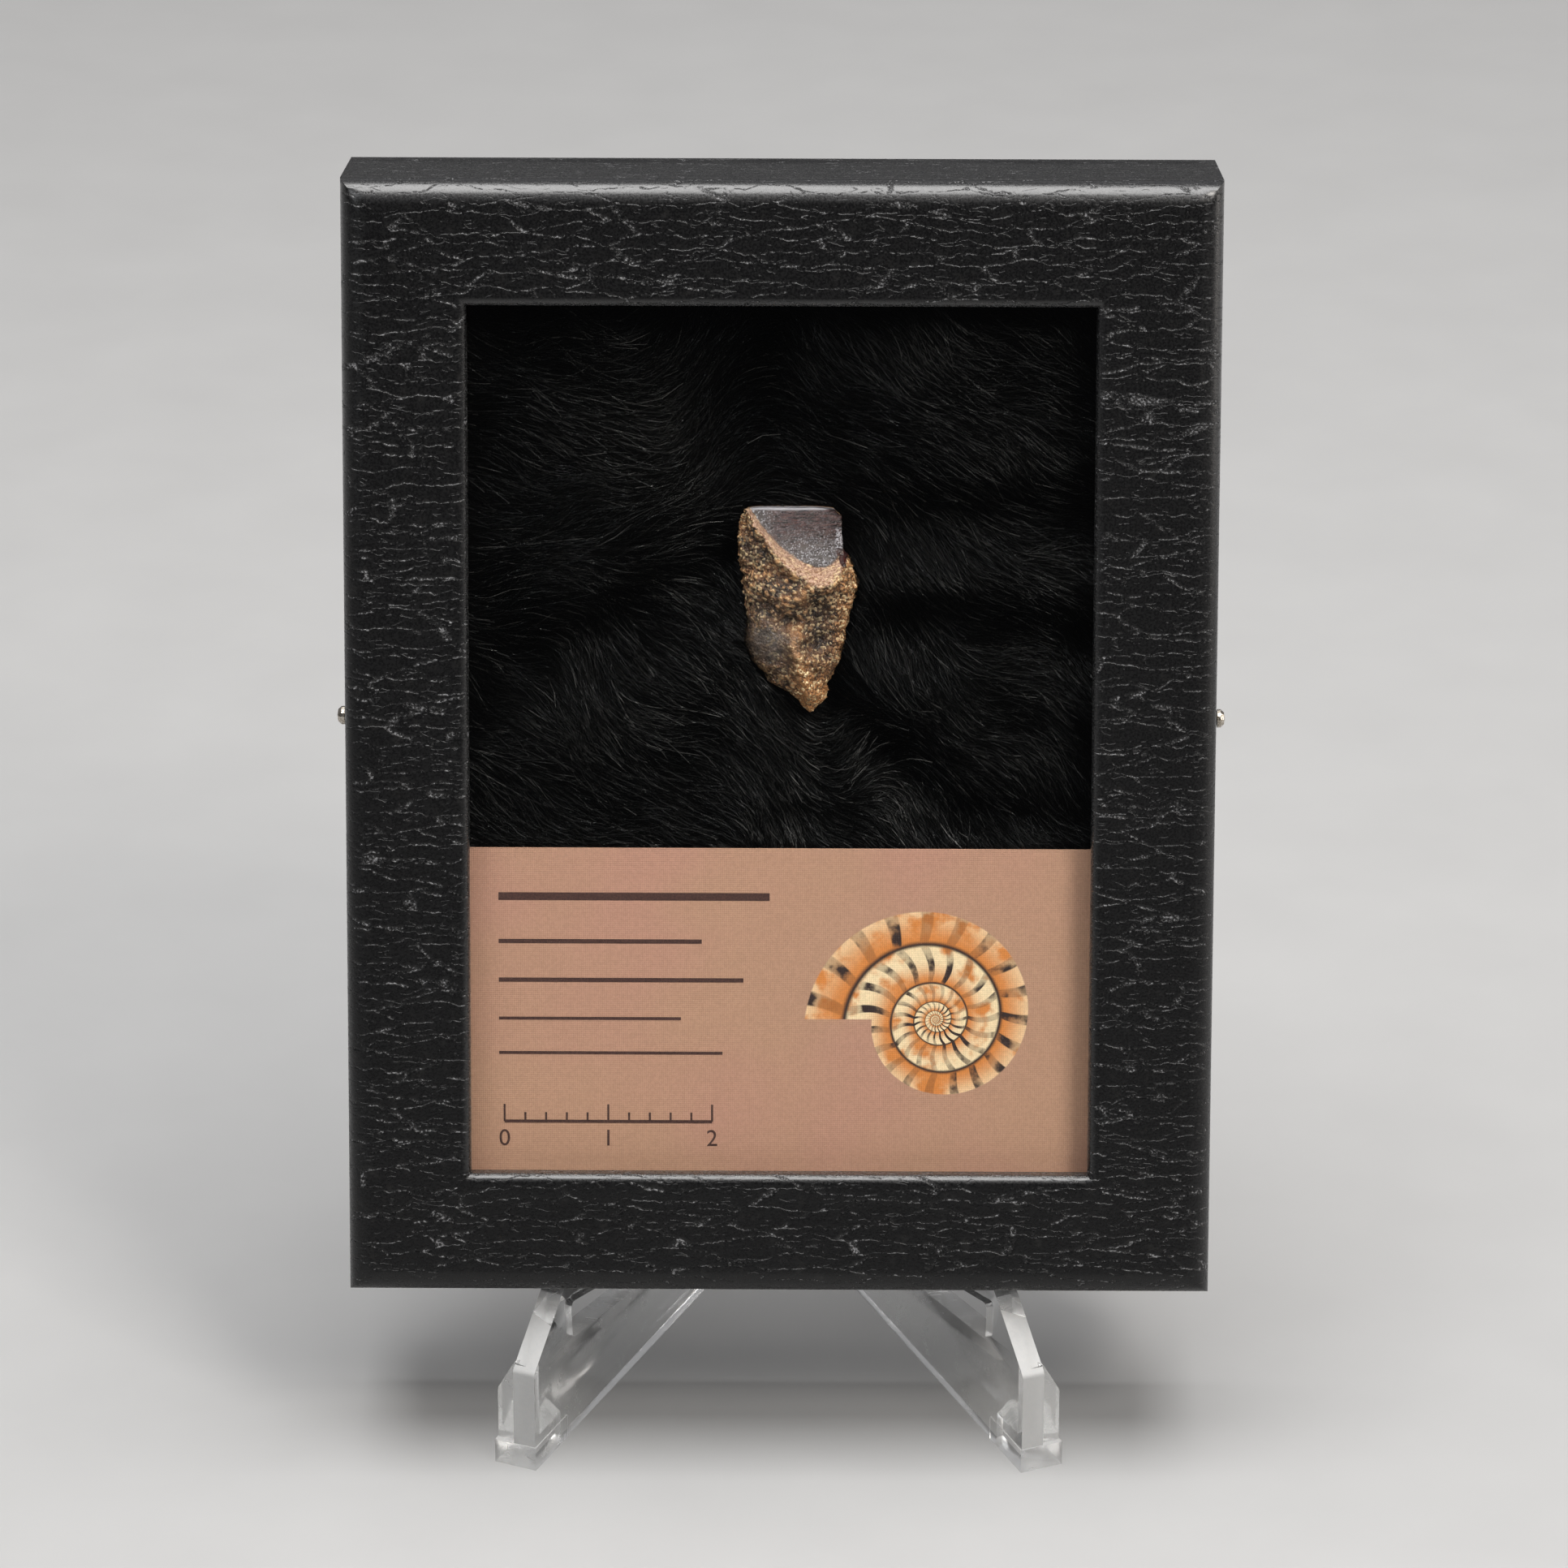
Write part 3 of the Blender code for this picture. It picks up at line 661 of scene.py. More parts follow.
def frontRelief(x, z):
    above, ledge = z - enamelEdge(x), ledgeWidth(x)
    relief = -0.0012 * ease(above, -0.8 * ledge, 0.0002)
    relief -= 0.0004 * bell(math.hypot(x - 0.0026, z - 0.0192), 0.0018) * ease(above, 0.0, 0.0010)
    relief += 0.0005 * bell(above + ledge + 0.0002, 0.0006)
    relief += 0.0010 * bell(nearLine(x, z, ridgeLine), 0.0007)
    relief += 0.0006 * bell(nearLine(x, z, browLine), 0.0006)
    for depth, radius, centreX, centreZ in hollows:
        relief -= depth * bell(math.hypot(x - centreX, z - centreZ), radius)
    return relief


def smoothPart(x, z):
    # a flat worn field at the lower left
    return bell(math.hypot((x + 0.0016) / 1.25, z - 0.0090), 0.0017)


def knobs(x, y, z, rootness):
    # large lumps, then round pebbles, then a sugary grain that is coarsest on the right edge
    spot = Vector((x, y, z))
    lumps = noise.noise(spot / tooth["knobSize"])
    lumps += 0.5 * noise.noise(Vector((x + 0.01, y, z)) / (tooth["knobSize"] / 2))
    planar = smoothPart(x, z)
    height = tooth["knob"] * lumps * (0.1 + 0.9 * rootness) * (1 - 0.7 * planar)
    nearest = noise.voronoi(spot / tooth["pebbleSize"])[0][0]
    pebble = max(0.0, 0.55 - nearest) - 0.25
    upper = 0.45 + 0.55 * ease(z, 0.0095, 0.0135)
    height += tooth["pebble"] * pebble * 2 * rootness * upper * (1 - 0.85 * planar)
    coarse = 1.0 + 0.9 * ease(x, 0.0040, 0.0062) + 0.6 * ease(0.0075 - z, 0.0, 0.0030)
    grain = noise.voronoi(spot / tooth["sugarSize"])[0][0] - 0.45
    grain += 0.5 * noise.noise(spot / (tooth["sugarSize"] * 0.45))
    height -= tooth["sugar"] * grain * coarse * (0.12 + 0.88 * rootness) * (1 - 0.55 * planar)
    return height


def toothPoint(across, back, up):
    z = tooth["tip"] + (tooth["top"] - tooth["tip"]) * (up + 1) / 2
    left, right = between(toothLeft, z), between(toothRight, z)
    girth = math.hypot(across, back)
    closing = min(1.0, girth / 0.2) ** 0.5
    around = math.atan2(back, across)
    power = 2 / (tooth["tipSquareness"] + (tooth["crownSquareness"] - tooth["tipSquareness"]) * (up + 1) / 2)
    side = math.copysign(abs(math.cos(around)) ** power, across) * closing
    facing = math.copysign(abs(math.sin(around)) ** power, back) * closing
    x = (left + right) / 2 + (right - left) / 2 * side
    y = between(toothRear if facing > 0 else toothFront, z) * facing
    above = z - enamelEdge(x) + 0.00009 * noise.noise(Vector((x, y, z)) * 1700)
    if facing < 0:
        y -= frontRelief(x, z) * min(1.0, -facing * 1.6) * closing
    rootness = 1.0 - 0.65 * ease(above, -ledgeWidth(x) - 0.0004, -0.0003) - 0.25 * ease(above, 0.0, 0.0003)
    height = knobs(x, y, z, rootness)
    enamel = ease(above, 0.00008, 0.00026) * ease(-facing, -0.35, 0.05)
    chip = ease(-math.hypot((x - 0.0060) / 0.6, z - 0.0171), -0.00075, -0.00055)
    enamel = max(enamel, chip)
    height += tooth["stria"] * noise.noise(Vector((x * 500, y * 500, z * 5200))) * enamel
    x += height * math.cos(around) * closing
    y += height * math.sin(around) * closing
    ledge = ledgeWidth(x)
    shelf = ease(above, -ledge - 0.0004, -ledge + 0.0002) * (1 - enamel) * ease(-facing, -0.2, 0.2)
    tipGold = ease(0.0064 - z, 0.0, 0.0020) * ease(x, 0.0004, 0.0018)
    sideGold = 0.6 * ease(x, 0.0046, 0.0062) * (1 - enamel)
    gold = max(bell(nearLine(x, z, ridgeLine), 0.0008) * ease(-facing, 0.0, 0.3), tipGold, sideGold)
    planar = min(1.0, 1.3 * smoothPart(x, z)) * ease(-facing, 0.0, 0.3)
    sunk = sum(bell(math.hypot(x - hollow[2], z - hollow[3]), hollow[1]) for hollow in hollows)
    # gold above 0.3, painted shade of the hollows below it
    tone = 0.3 + 0.7 * gold * (1 - planar) - 0.3 * min(1.0, sunk) * ease(-facing, 0.0, 0.3)
    return (x, tooth["depth"] + y, middleHeight + z), (enamel, shelf, tone, planar)


toothColours = {
    "enamelDark": srgb(22, 11, 11),
    "enamelGrey": srgb(66, 59, 57),
    "enamelRed": srgb(66, 20, 12),
    # pale colour of the enamel's painted glints and of the painted highlight on its top rim
    "enamelGlint": srgb(186, 184, 190),
    "shelf": srgb(138, 94, 62),
    "shelfPale": srgb(206, 171, 148),
    # dark brown of the root's clouds, also painted into the hollows as painted shade
    "rootDeep": srgb(30, 18, 11),
    # painted shade in the pits
    "rootShade": srgb(44, 29, 19),
    "rootBrown": srgb(118, 76, 42),
    # paler colour painted on the knob tops: a painted highlight
    "rootLight": srgb(210, 160, 108),
    # greyer colour of the flat worn field at the lower left, partly its own colour and partly a painted glare
    "wearAndSheen": srgb(60, 53, 48),
    "gold": srgb(204, 142, 84),
    # pale colour of painted glints on the root's crystals
    "glint": srgb(255, 226, 176),
}


def makeToothMaterial():
    colour = toothColours
    material, tree, shader = newMaterial("fossilTooth", Specular_IOR_Level=0.6)
    spot = place(tree, casePlace)[0]
    marks = add(tree, "ShaderNodeAttribute", attribute_name="toothZones").outputs
    enamel, shelf, tone = channels(marks["Color"])
    wearAndSheen = marks["Alpha"]
    gold = spread(tone, 0.3, 1.0, kind="LINEAR")
    # painted shade of the hollows
    sunk = spread(tone, 0.0, 0.3, 1.0, 0.0, "LINEAR")
    cloud = clouds(spot, 0.75, 6.0, 0.68)
    speckle, grit = place(tree, fineGrain, Place=spot, Size=0.20, Sharp=0.7)
    crystal = cells(spot, 4.2)
    facet = channels(crystal["Color"])[0]
    raised = add(tree, "ShaderNodeNewGeometry").outputs["Pointiness"]
    pits = spread(raised, 0.45, 0.505, 1.0, 0.0)
    # root: brown clouds with golden crystals; the knob tops are painted paler, a painted highlight, and the pits and
    # hollows painted dark, a painted shade
    root = mixColour(spread(cloud, 0.38, 0.62), colour["rootDeep"], colour["rootBrown"])
    for share, name in (
        # knob tops: painted highlight
        (times(spread(raised, 0.50, 0.56), 0.75), "rootLight"),
        (times(gold, spread(grit, 0.40, 0.58, 0.15, 0.9)), "gold"),
        # pits: painted shade
        (times(pits, 0.85), "rootShade"),
        # hollows: painted shade
        (times(sunk, 0.8), "rootDeep"),
        # the flat worn field: partly its own greyer colour, partly a painted glare
        (times(wearAndSheen, 0.85), "wearAndSheen"),
    ):
        root = mixColour(share, root, colour[name])
    # shelf: pale and pinkish, its lower border lost among the grains
    shelfTone = mixColour(spread(grit, 0.40, 0.60), colour["shelf"], colour["shelfPale"])
    patchy = plus(plus(shelf, scaled(cloud, 1.7, -0.85)), scaled(grit, 1.7, -0.85))
    patchy = times(spread(patchy, 0.25, 0.95), spread(shelf, 0.0, 0.25), spread(pits, 0.0, 1.0, 1.0, 0.5))
    # painted glints: random crystal facets take the pale glint colour, most where the root is gold, least on the flat
    # worn field
    sparkle = times(spread(facet, 0.75, 0.88), scaled(gold, 0.58, 0.40), scaled(wearAndSheen, -0.8, 1.0))
    base = mixColour(sparkle, mixColour(patchy, root, shelfTone), colour["glint"])
    # enamel: dark and glassy, greyer towards its lower border and speckled there with painted glints; painted glints
    # near its right edge and a painted highlight along its top rim
    streak = clouds(stretched(spot, (0.9, 0.9, 5.0)), 1.4, 6.0, 0.75)
    speck = channels(cells(spot, 8.5)["Color"])[1]
    x, _, z = parts(spot)
    chip = times(spread(x, 5.1, 5.4), spread(z, 71.5, 72.0, 1.0, 0.0))
    greyness = larger(spread(z, 71.0, 74.6, 1.0, 0.0), spread(x, -2.4, 0.4, 1.0, 0.0))
    greyness = times(greyness, spread(streak, 0.30, 0.58, 0.35, 1.0), minus(1.0, chip))
    glaze = mixColour(spread(streak, 0.42, 0.62), colour["enamelDark"], colour["enamelRed"])
    glaze = mixColour(greyness, glaze, colour["enamelGrey"])
    # painted glint specks, most where the enamel is grey
    paintedGlintSpecks = times(spread(speck, 0.62, 0.95), scaled(greyness, 0.58, 0.10))
    # painted glints near the right edge of the enamel, then a painted highlight along its top rim
    edge = times(spread(x, 4.9, 5.4), spread(speck, 0.35, 0.6), spread(z, 73.4, 74.0, 1.0, 0.0))
    edge = larger(times(edge, spread(z, 71.6, 72.0, 0.0, 0.8)), spread(z, 75.42, 75.60, 0.0, 0.75))
    glaze = mixColour(larger(paintedGlintSpecks, edge), glaze, colour["enamelGlint"])
    rough = minus(scaled(speckle, 0.20, 0.42), times(sparkle, 0.25))
    rough = mixValue(enamel, rough, scaled(streak, 0.20, 0.18))
    ground = times(minus(grit, crystal["Distance"]), scaled(wearAndSheen, -0.6, 1.0))
    glassy = plus(times(streak, 0.5), times(speck, 0.16))
    height = mixValue(enamel, scaled(facet, 0.35, ground), glassy)
    dress(shader, mixColour(enamel, base, glaze), rough, height, 0.00018)
    return material


def makeTooth():
    bm = bmesh.new()
    bmesh.ops.create_uvsphere(bm, u_segments=tooth["columns"], v_segments=tooth["rows"], radius=1.0)
    layer = bm.verts.layers.float_color.new("toothZones")
    for vert in bm.verts:
        spot, zones = toothPoint(*vert.co)
        vert.co = spot
        vert[layer] = zones
    piece = newObject("toothFossil", bm, [makeToothMaterial()], pose, 180)
    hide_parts("tooth")
    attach(piece, body)


makeTooth()
print("tooth made")


# Fur: a folded hide with long pile combed over it

bed = {
    "columns": 150,
    "rows": 220,
    "level": 0.0054,
    "front": 0.0040,
    "nestX": 0.0015,
    "nestZ": 0.0112,
    "nestRadius": 0.0098,
    "nestDepth": 0.0030,
    "nestClearance": 0.0006,
    "sunk": 0.0007,  # hide below the tips of its pile
    "back": 0.0171,
    "gap": 0.00012,  # between the hide's sides and the tray
    "cardTop": 0.0433,
    "cardBack": 0.0040,
}
folds = [  # depth, half-width, points as (x, height) from the case's middle
    (0.0030, 0.0027, [(-0.0380, 0.0030), (-0.0157, 0.0100), (-0.0080, 0.0152), (-0.0041, 0.0160)]),
    (0.0026, 0.0026, [(0.0060, 0.0199), (0.0180, 0.0207), (0.0380, 0.0202)]),
    (0.0024, 0.0022, [(0.0115, 0.0105), (0.0192, 0.0109), (0.0380, 0.0072)]),
    (0.0014, 0.0018, [(0.0026, 0.0022), (0.0042, -0.0066), (0.0018, -0.0098)]),
    (0.0024, 0.0022, [(0.0049, 0.0038), (0.0092, -0.0014), (0.0155, -0.0069), (0.0270, -0.0120)]),
    (0.0034, 0.0060, [(-0.0020, 0.0250), (-0.0035, 0.0330), (-0.0030, 0.0500)]),
]
masses = [  # rise towards the glass, radius, x, height
    (0.0009, 0.0100, -0.0140, 0.0010),
    (0.0008, 0.0080, 0.0030, -0.0060),
    (0.0007, 0.0060, 0.0235, 0.0140),
    (0.0006, 0.0090, -0.0200, 0.0250),
    (0.0006, 0.0090, 0.0200, 0.0290),
]


def furDepth(x, z):
    depth = bed["level"]
    for fold, width, points in folds:
        away = nearLine(x, z, points)
        depth += fold * bell(away, width) - 0.25 * fold * bell(away - 2.6 * width, width)
    for rise, radius, centreX, centreZ in masses:
        depth -= rise * bell(math.hypot(x - centreX, z - centreZ), radius)
    depth += bed["nestDepth"] * bell(math.hypot((x - bed["nestX"]) / 0.8, z - bed["nestZ"]), bed["nestRadius"])
    depth = max(depth, bed["front"])
    cardEdge = bed["cardTop"] - middleHeight
    underCard = 1.0 - ease(z, cardEdge + 0.0006, cardEdge + 0.0030)
    return depth + (bed["cardBack"] + 0.0006 - depth) * underCard


halfBed = (caseForm["width"] / 2 - caseForm["innerEdge"], caseForm["height"] / 2 - caseForm["innerEdge"])


def depthField():
    across = np.linspace(-halfBed[0], halfBed[0], bed["columns"])
    up = np.linspace(-halfBed[1], halfBed[1], bed["rows"])
    return across, up, np.array([[furDepth(x, z) for x in across] for z in up])


fieldX, fieldZ, field = depthField()


def depthAt(x, z):
    # the field between its points
    i = np.clip((x - fieldX[0]) / (fieldX[1] - fieldX[0]), 0, len(fieldX) - 1.001)
    j = np.clip((z - fieldZ[0]) / (fieldZ[1] - fieldZ[0]), 0, len(fieldZ) - 1.001)
    i0, j0 = i.astype(int), j.astype(int)
    a, b = i - i0, j - j0
    low = field[j0, i0] * (1 - a) + field[j0, i0 + 1] * a
    high = field[j0 + 1, i0] * (1 - a) + field[j0 + 1, i0 + 1] * a
    return low * (1 - b) + high * b


def toothEdges(z):
    outside = (z < tooth["tip"]) | (z > tooth["top"])
    left, right = (np.interp(z, *reversed(np.transpose(table))) for table in (toothLeft, toothRight))
    return np.where(outside, 1.0, left), np.where(outside, -1.0, right)


hideLook = {
    "size": 0.3,
    "sharp": 0.3,
    "tones": ((0.0005, 0.0005, 0.0005, 1), (0.0015, 0.0014, 0.0013, 1)),
    "roughness": (0.8, 0.95),
    "relief": 0.0002,
}


def makeHide():
    grow, columns, rows = bed["nestClearance"], bed["columns"], bed["rows"]
    front = []
    for z in fieldZ:
        for x in fieldX:
            depth = furDepth(x, z) + bed["sunk"]
            left, right = between(toothLeft, z) - grow, between(toothRight, z) + grow
            if tooth["tip"] - grow < z < tooth["top"] + grow and left < x < right:
                side = (x - (left + right) / 2) / ((right - left) / 2)
                reach = (between(toothRear, z) + grow) * (1 - abs(side) ** 2.4) ** (1 / 2.4)
                depth = max(depth, tooth["depth"] + reach)
            front.append((x * (1 - bed["gap"] / halfBed[0]), depth, z + middleHeight))
    points = np.array(front + [(x, bed["back"], z) for x, _, z in front])
    faces = []
    shift, top, end = columns * rows, (rows - 1) * columns, columns - 1
    for low in range(0, top, columns):
        for a in range(low, low + end):
            quad = (a, a + 1, a + columns + 1, a + columns)
            faces += [quad, [shift + corner for corner in reversed(quad)]]
    rim = [(a + 1, a) for a in range(end)] + [(a, a + 1) for a in range(top, top + end)]
    rim += [(a, a + columns) for a in range(0, top, columns)]
    rim += [(a + columns, a) for a in range(end, top, columns)]
    faces += [(a, b, b + shift, a + shift) for a, b in rim]
    material = makeGrained("furHide", hideLook, Specular_IOR_Level=0.1)
    hide = objectOf("furHide", gridMesh("furHide", points, faces, pose), [material], 180)
    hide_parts("fur_bed")
    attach(hide, body)


pile = {
    "strands": 18500,  # in each layer
    "layers": 4,
    "length": 0.0074,
    "width": 0.000060,
    "rise": 0.0005,
    "roll": 1.0,
    "clump": 0.30,
    "stray": 0.16,
    "reach": 0.0042,  # how far one combing mark rules
    "seed": 41,
}
# strand tones along their painted sheen value: near black, with a pale top end that is a painted glint
pileTones = [
    (0.05, (0.0004, 0.0004, 0.0004, 1)),
    (0.40, (0.0011, 0.0011, 0.0010, 1)),
    (0.70, (0.0060, 0.0057, 0.0054, 1)),
    (1.00, (0.0850, 0.0820, 0.0780, 1)),
]
combing = [  # x, height in millimetres from the case's middle, direction in degrees, length of pile
    (-25.5, 37.7, -15, 1.0), (-15.9, 31.0, -18, 1.1), (-25.5, 27.0, -8, 1.2), (-9.7, 35.7, 50, 0.9),
    (-8.2, 25.5, 12, 1.1), (-4.7, 27.4, 60, 0.8), (-19.7, 19.1, 4, 1.2), (-12.0, 16.0, 12, 1.0),
    (-25.5, 12.8, 4, 1.2), (-6.7, 11.3, -45, 0.6), (-14.0, 7.3, -58, 0.6), (-21.6, 3.4, -50, 0.7),
    (-26.6, -2.5, -25, 0.9), (-15.9, -2.5, -18, 0.9), (-6.3, 1.4, -20, 0.8), (-1.3, -4.5, -50, 0.6),
    (1.4, -6.5, -75, 0.5), (-8.2, -8.4, -15, 0.8), (-23.6, -8.4, -20, 1.0), (7.1, -2.5, 70, 0.4),
    (12.9, -7.6, -40, 0.5), (9.1, 17.2, -55, 1.0), (16.7, 16.0, -42, 0.9), (24.4, 19.1, -25, 0.9),
    (7.1, 11.3, -62, 1.0), (18.7, 8.1, -15, 0.6), (26.3, 6.5, -20, 0.7), (11.7, 6.5, -48, 0.9),
    (16.7, 0.2, -45, 1.0), (24.4, -2.5, -38, 1.0), (7.1, 36.9, -35, 1.0), (22.5, 34.9, -30, 1.1),
    (14.8, 29.0, -28, 1.2), (24.4, 25.8, -22, 1.1), (3.3, 25.8, -38, 0.9), (7.1, 23.5, -15, 0.9),
]


def combed(x, z):
    marks = np.array(combing)
    away = (x[:, None] * 1000 - marks[:, 0]) ** 2 + (z[:, None] * 1000 - marks[:, 1]) ** 2
    weight = np.exp(-away / (2 * (pile["reach"] * 1000) ** 2)) + 1e-9
    angle = np.radians(marks[:, 2])
    across, up = (weight * np.cos(angle)).sum(1), (weight * np.sin(angle)).sum(1)
    length = (weight * marks[:, 3]).sum(1) / weight.sum(1)
    return np.arctan2(up, across), length


def clumps(x, z, seed):
    # a slow wandering of the strands' direction that neighbours share
    chance = np.random.default_rng(seed)
    total = np.zeros_like(x)
    for size in (0.0022, 0.0011, 0.0030, 0.0007):
        phase = chance.uniform(0, math.tau, 4)
        lean = chance.uniform(0, math.tau)
        u, v = np.cos(lean) * x + np.sin(lean) * z, -np.sin(lean) * x + np.cos(lean) * z
        total += np.sin(u / size + phase[0] + 1.7 * np.sin(v / size * 0.7 + phase[1])) * size
    return total / 0.0036


def strandPaths(layer):
    # points along each strand, (strand, point, 3) in the case's frame
    chance = np.random.default_rng(pile["seed"] + layer)
    count, steps, kept = pile["strands"], 12, 5
    x = chance.uniform(-halfBed[0] + 0.0004, halfBed[0] - 0.0004, count)
    lowest = bed["cardTop"] - middleHeight - 0.002
    z = chance.uniform(lowest, halfBed[1] - 0.0004, count)
    angle, length = combed(x, z)
    length = length * pile["length"] * chance.uniform(0.55, 1.25, count)
    own = chance.normal(0, pile["stray"], count)
    bend = chance.normal(0, 0.35, count)
    xs, zs = [x], [z]
    for k in range(steps):
        angle, _ = combed(xs[-1], zs[-1])
        turn = angle + own + bend * (k / steps - 0.3) + pile["clump"] * clumps(xs[-1], zs[-1], 5)
        xs.append(xs[-1] + np.cos(turn) * length / steps)
        zs.append(zs[-1] + np.sin(turn) * length / steps)
    xs, zs = np.stack(xs, 1), np.stack(zs, 1)
    left, right = toothEdges(zs)
    blocked = (xs > left + 0.0001) & (xs < right - 0.0001)
    blocked |= (np.abs(xs) > halfBed[0] - 0.0002) | (zs > halfBed[1] - 0.0002)
    ends = np.where(blocked.any(1), blocked.argmax(1), steps + 1)
    keep = ends > 2
    xs, zs, ends = xs[keep], zs[keep], ends[keep]
    share = np.linspace(0, 1, kept)[None, :] * (ends[:, None] - 1)
    low = np.clip(share.astype(int), 0, steps - 1)
    part = share - low
    row = np.arange(len(xs))[:, None]
    px = xs[row, low] * (1 - part) + xs[row, low + 1] * part
    pz = zs[row, low] * (1 - part) + zs[row, low + 1] * part
    along = np.linspace(0, 1, kept)[None, :]
    high = chance.uniform(0.0, 1.0, len(xs))[:, None] ** 2
    lift = np.sin(along * math.pi * 0.62) * pile["rise"] * (0.3 + high * 1.6) - (1 - along) * bed["sunk"]
    behindCard = pz < bed["cardTop"] - middleHeight + 0.0004
    py = np.maximum(depthAt(px, pz) - lift, np.where(behindCard, bed["cardBack"] + 0.0002, bed["front"] - 0.0002))
    # most strands are near black; a few are painted pale as painted glints, and short fuzz is painted paler as a
    # painted sheen
    fuzz = np.clip(0.85 - combed(px[:, 0], pz[:, 0])[1], 0, 0.4)
    paintedSheen = chance.uniform(0, 1, len(xs)) ** 5 * 0.85 + 0.4 * fuzz
    paintedSheen = np.repeat(paintedSheen[:, None], kept, 1)
    return np.stack([px, py, pz + middleHeight], 2), paintedSheen


def makePileTree(material):
    # strands: each line becomes a tapering blade, turned about itself by chance
    tree = bpy.data.node_groups.new("pileBlades", "GeometryNodeTree")
    tree.interface.new_socket("Geometry", in_out="INPUT", socket_type="NodeSocketGeometry")
    for label, value in (("Width", pile["width"]), ("Roll", pile["roll"]), ("Tip", 0.18)):
        tree.interface.new_socket(label, in_out="INPUT", socket_type="NodeSocketFloat").default_value = value
    tree.interface.new_socket("Seed", in_out="INPUT", socket_type="NodeSocketInt").default_value = 1
    tree.interface.new_socket("Geometry", in_out="OUTPUT", socket_type="NodeSocketGeometry")
    entry = add(tree, "NodeGroupInput").outputs
    curve = join("GeometryNodeMeshToCurve", {"Mesh": entry["Geometry"]})[0]
    curve = join("GeometryNodeSetCurveNormal", {"Curve": curve}, mode="Z_UP")[0]
    bounds = {2: times(entry["Roll"], -1.0), 3: entry["Roll"], "Seed": entry["Seed"]}
    chance = join("FunctionNodeRandomValue", bounds, data_type="FLOAT")[1]
    each = join("GeometryNodeFieldOnDomain", {0: chance}, domain="CURVE", data_type="FLOAT")[0]
    curve = join("GeometryNodeSetCurveTilt", {"Curve": curve, "Tilt": each})[0]
    along = add(tree, "GeometryNodeSplineParameter").outputs["Factor"]
    taper = spread(along, 0.35, 1.0, 1.0, entry["Tip"], "LINEAR")
    curve = join("GeometryNodeSetCurveRadius", {"Curve": curve, "Radius": taper})[0]
    half = times(entry["Width"], 0.5)
    ends = [join("ShaderNodeCombineXYZ", {0: value})[0] for value in (times(half, -1.0), half)]
    blade = join("GeometryNodeCurvePrimitiveLine", {"Start": ends[0], "End": ends[1]})[0]
    mesh = join("GeometryNodeCurveToMesh", {"Curve": curve, "Profile Curve": blade})[0]
    mesh = join("GeometryNodeRealizeInstances", {"Geometry": mesh})[0]
    mesh = join("GeometryNodeSetMaterial", {"Geometry": mesh, "Material": material})[0]
    add(tree, "NodeGroupOutput", {0: mesh})
    return tree


def baked(name, thing, tree, values):
    # runs a node tree on an object once and keeps the result as a plain mesh
    modifier = thing.modifiers.new("nodes", "NODES")
    modifier.node_group = tree
    for item in tree.interface.items_tree:
        if item.item_type == "SOCKET" and item.in_out == "INPUT" and item.name in values:
            modifier[item.identifier] = values[item.name]
    graph = bpy.context.evaluated_depsgraph_get()
    mesh = bpy.data.meshes.new_from_object(thing.evaluated_get(graph))
    mesh.name = name
    old = thing.data
    thing.modifiers.remove(modifier)
    thing.data = mesh
    bpy.data.meshes.remove(old)
    return mesh


def makePileMaterial():
    material, tree, shader = newMaterial("blackPile", Specular_IOR_Level=0.10)
    # each strand's painted sheen value picks its tone
    paintedSheen = add(tree, "ShaderNodeAttribute", attribute_name="paintedSheen").outputs["Fac"]
    cloud = clouds(place(tree, casePlace)[0], 2.0, 3.0)
    tone = join("ShaderNodeValToRGB", {0: plus(paintedSheen, scaled(cloud, 0.5, -0.25))})[0]
    band = tone.node.color_ramp.elements
    while len(band) < len(pileTones):
        band.new(0.5)
    for element, (share, colour) in zip(band, pileTones):
        element.position = share
        element.color = colour
    dress(shader, tone, spread(cloud, 0.3, 0.7, 0.30, 0.45))
    return material


def makePile():
    tree = makePileTree(makePileMaterial())
    for layer in range(pile["layers"]):
        paths, paintedSheen = strandPaths(layer)
        strands, points = paths.shape[:2]
        turn = np.array(pose.to_3x3())
        spots = paths.reshape(-1, 3) @ turn.T + np.array(pose.translation)
        first = (np.arange(strands) * points)[:, None] + np.arange(points - 1)[None, :]
        edges = np.stack([first, first + 1], 2).reshape(-1, 2)
        name = "furPile%d" % (layer + 1)
        mesh = bpy.data.meshes.new(name)
        mesh.from_pydata(spots.tolist(), edges.tolist(), [])
        mesh.attributes.new("paintedSheen", "FLOAT", "POINT").data.foreach_set("value", paintedSheen.ravel().astype(np.float32))
        strand = objectOf(name, mesh, [])
        baked(name, strand, tree, {"Width": pile["width"], "Roll": pile["roll"], "Seed": pile["seed"] + layer})
        strand.data.shade_smooth()
        print("fur pile", layer + 1, "of", strands, "strands")
        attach(strand, body)


makeHide()
makePile()
print("fur laid")


# Printed card: a record card of plain design

card = {
    "front": 0.0036,
    "shellX": 15.0,  # millimetres, in the case's frame
    "shellZ": 26.6,
    "shellRadius": 12.6,
    "growth": 2.05,  # how much a whorl widens in one turn
    "ribs": 19.0,
}
cardColours = {
    "stock": srgb(176, 137, 112),
    "stockPink": srgb(178, 134, 114),
    "ink": srgb(52, 32, 28),
    "cream": srgb(238, 214, 172),
    "orange": srgb(206, 128, 62),
    "stripe": srgb(40, 26, 24),
}


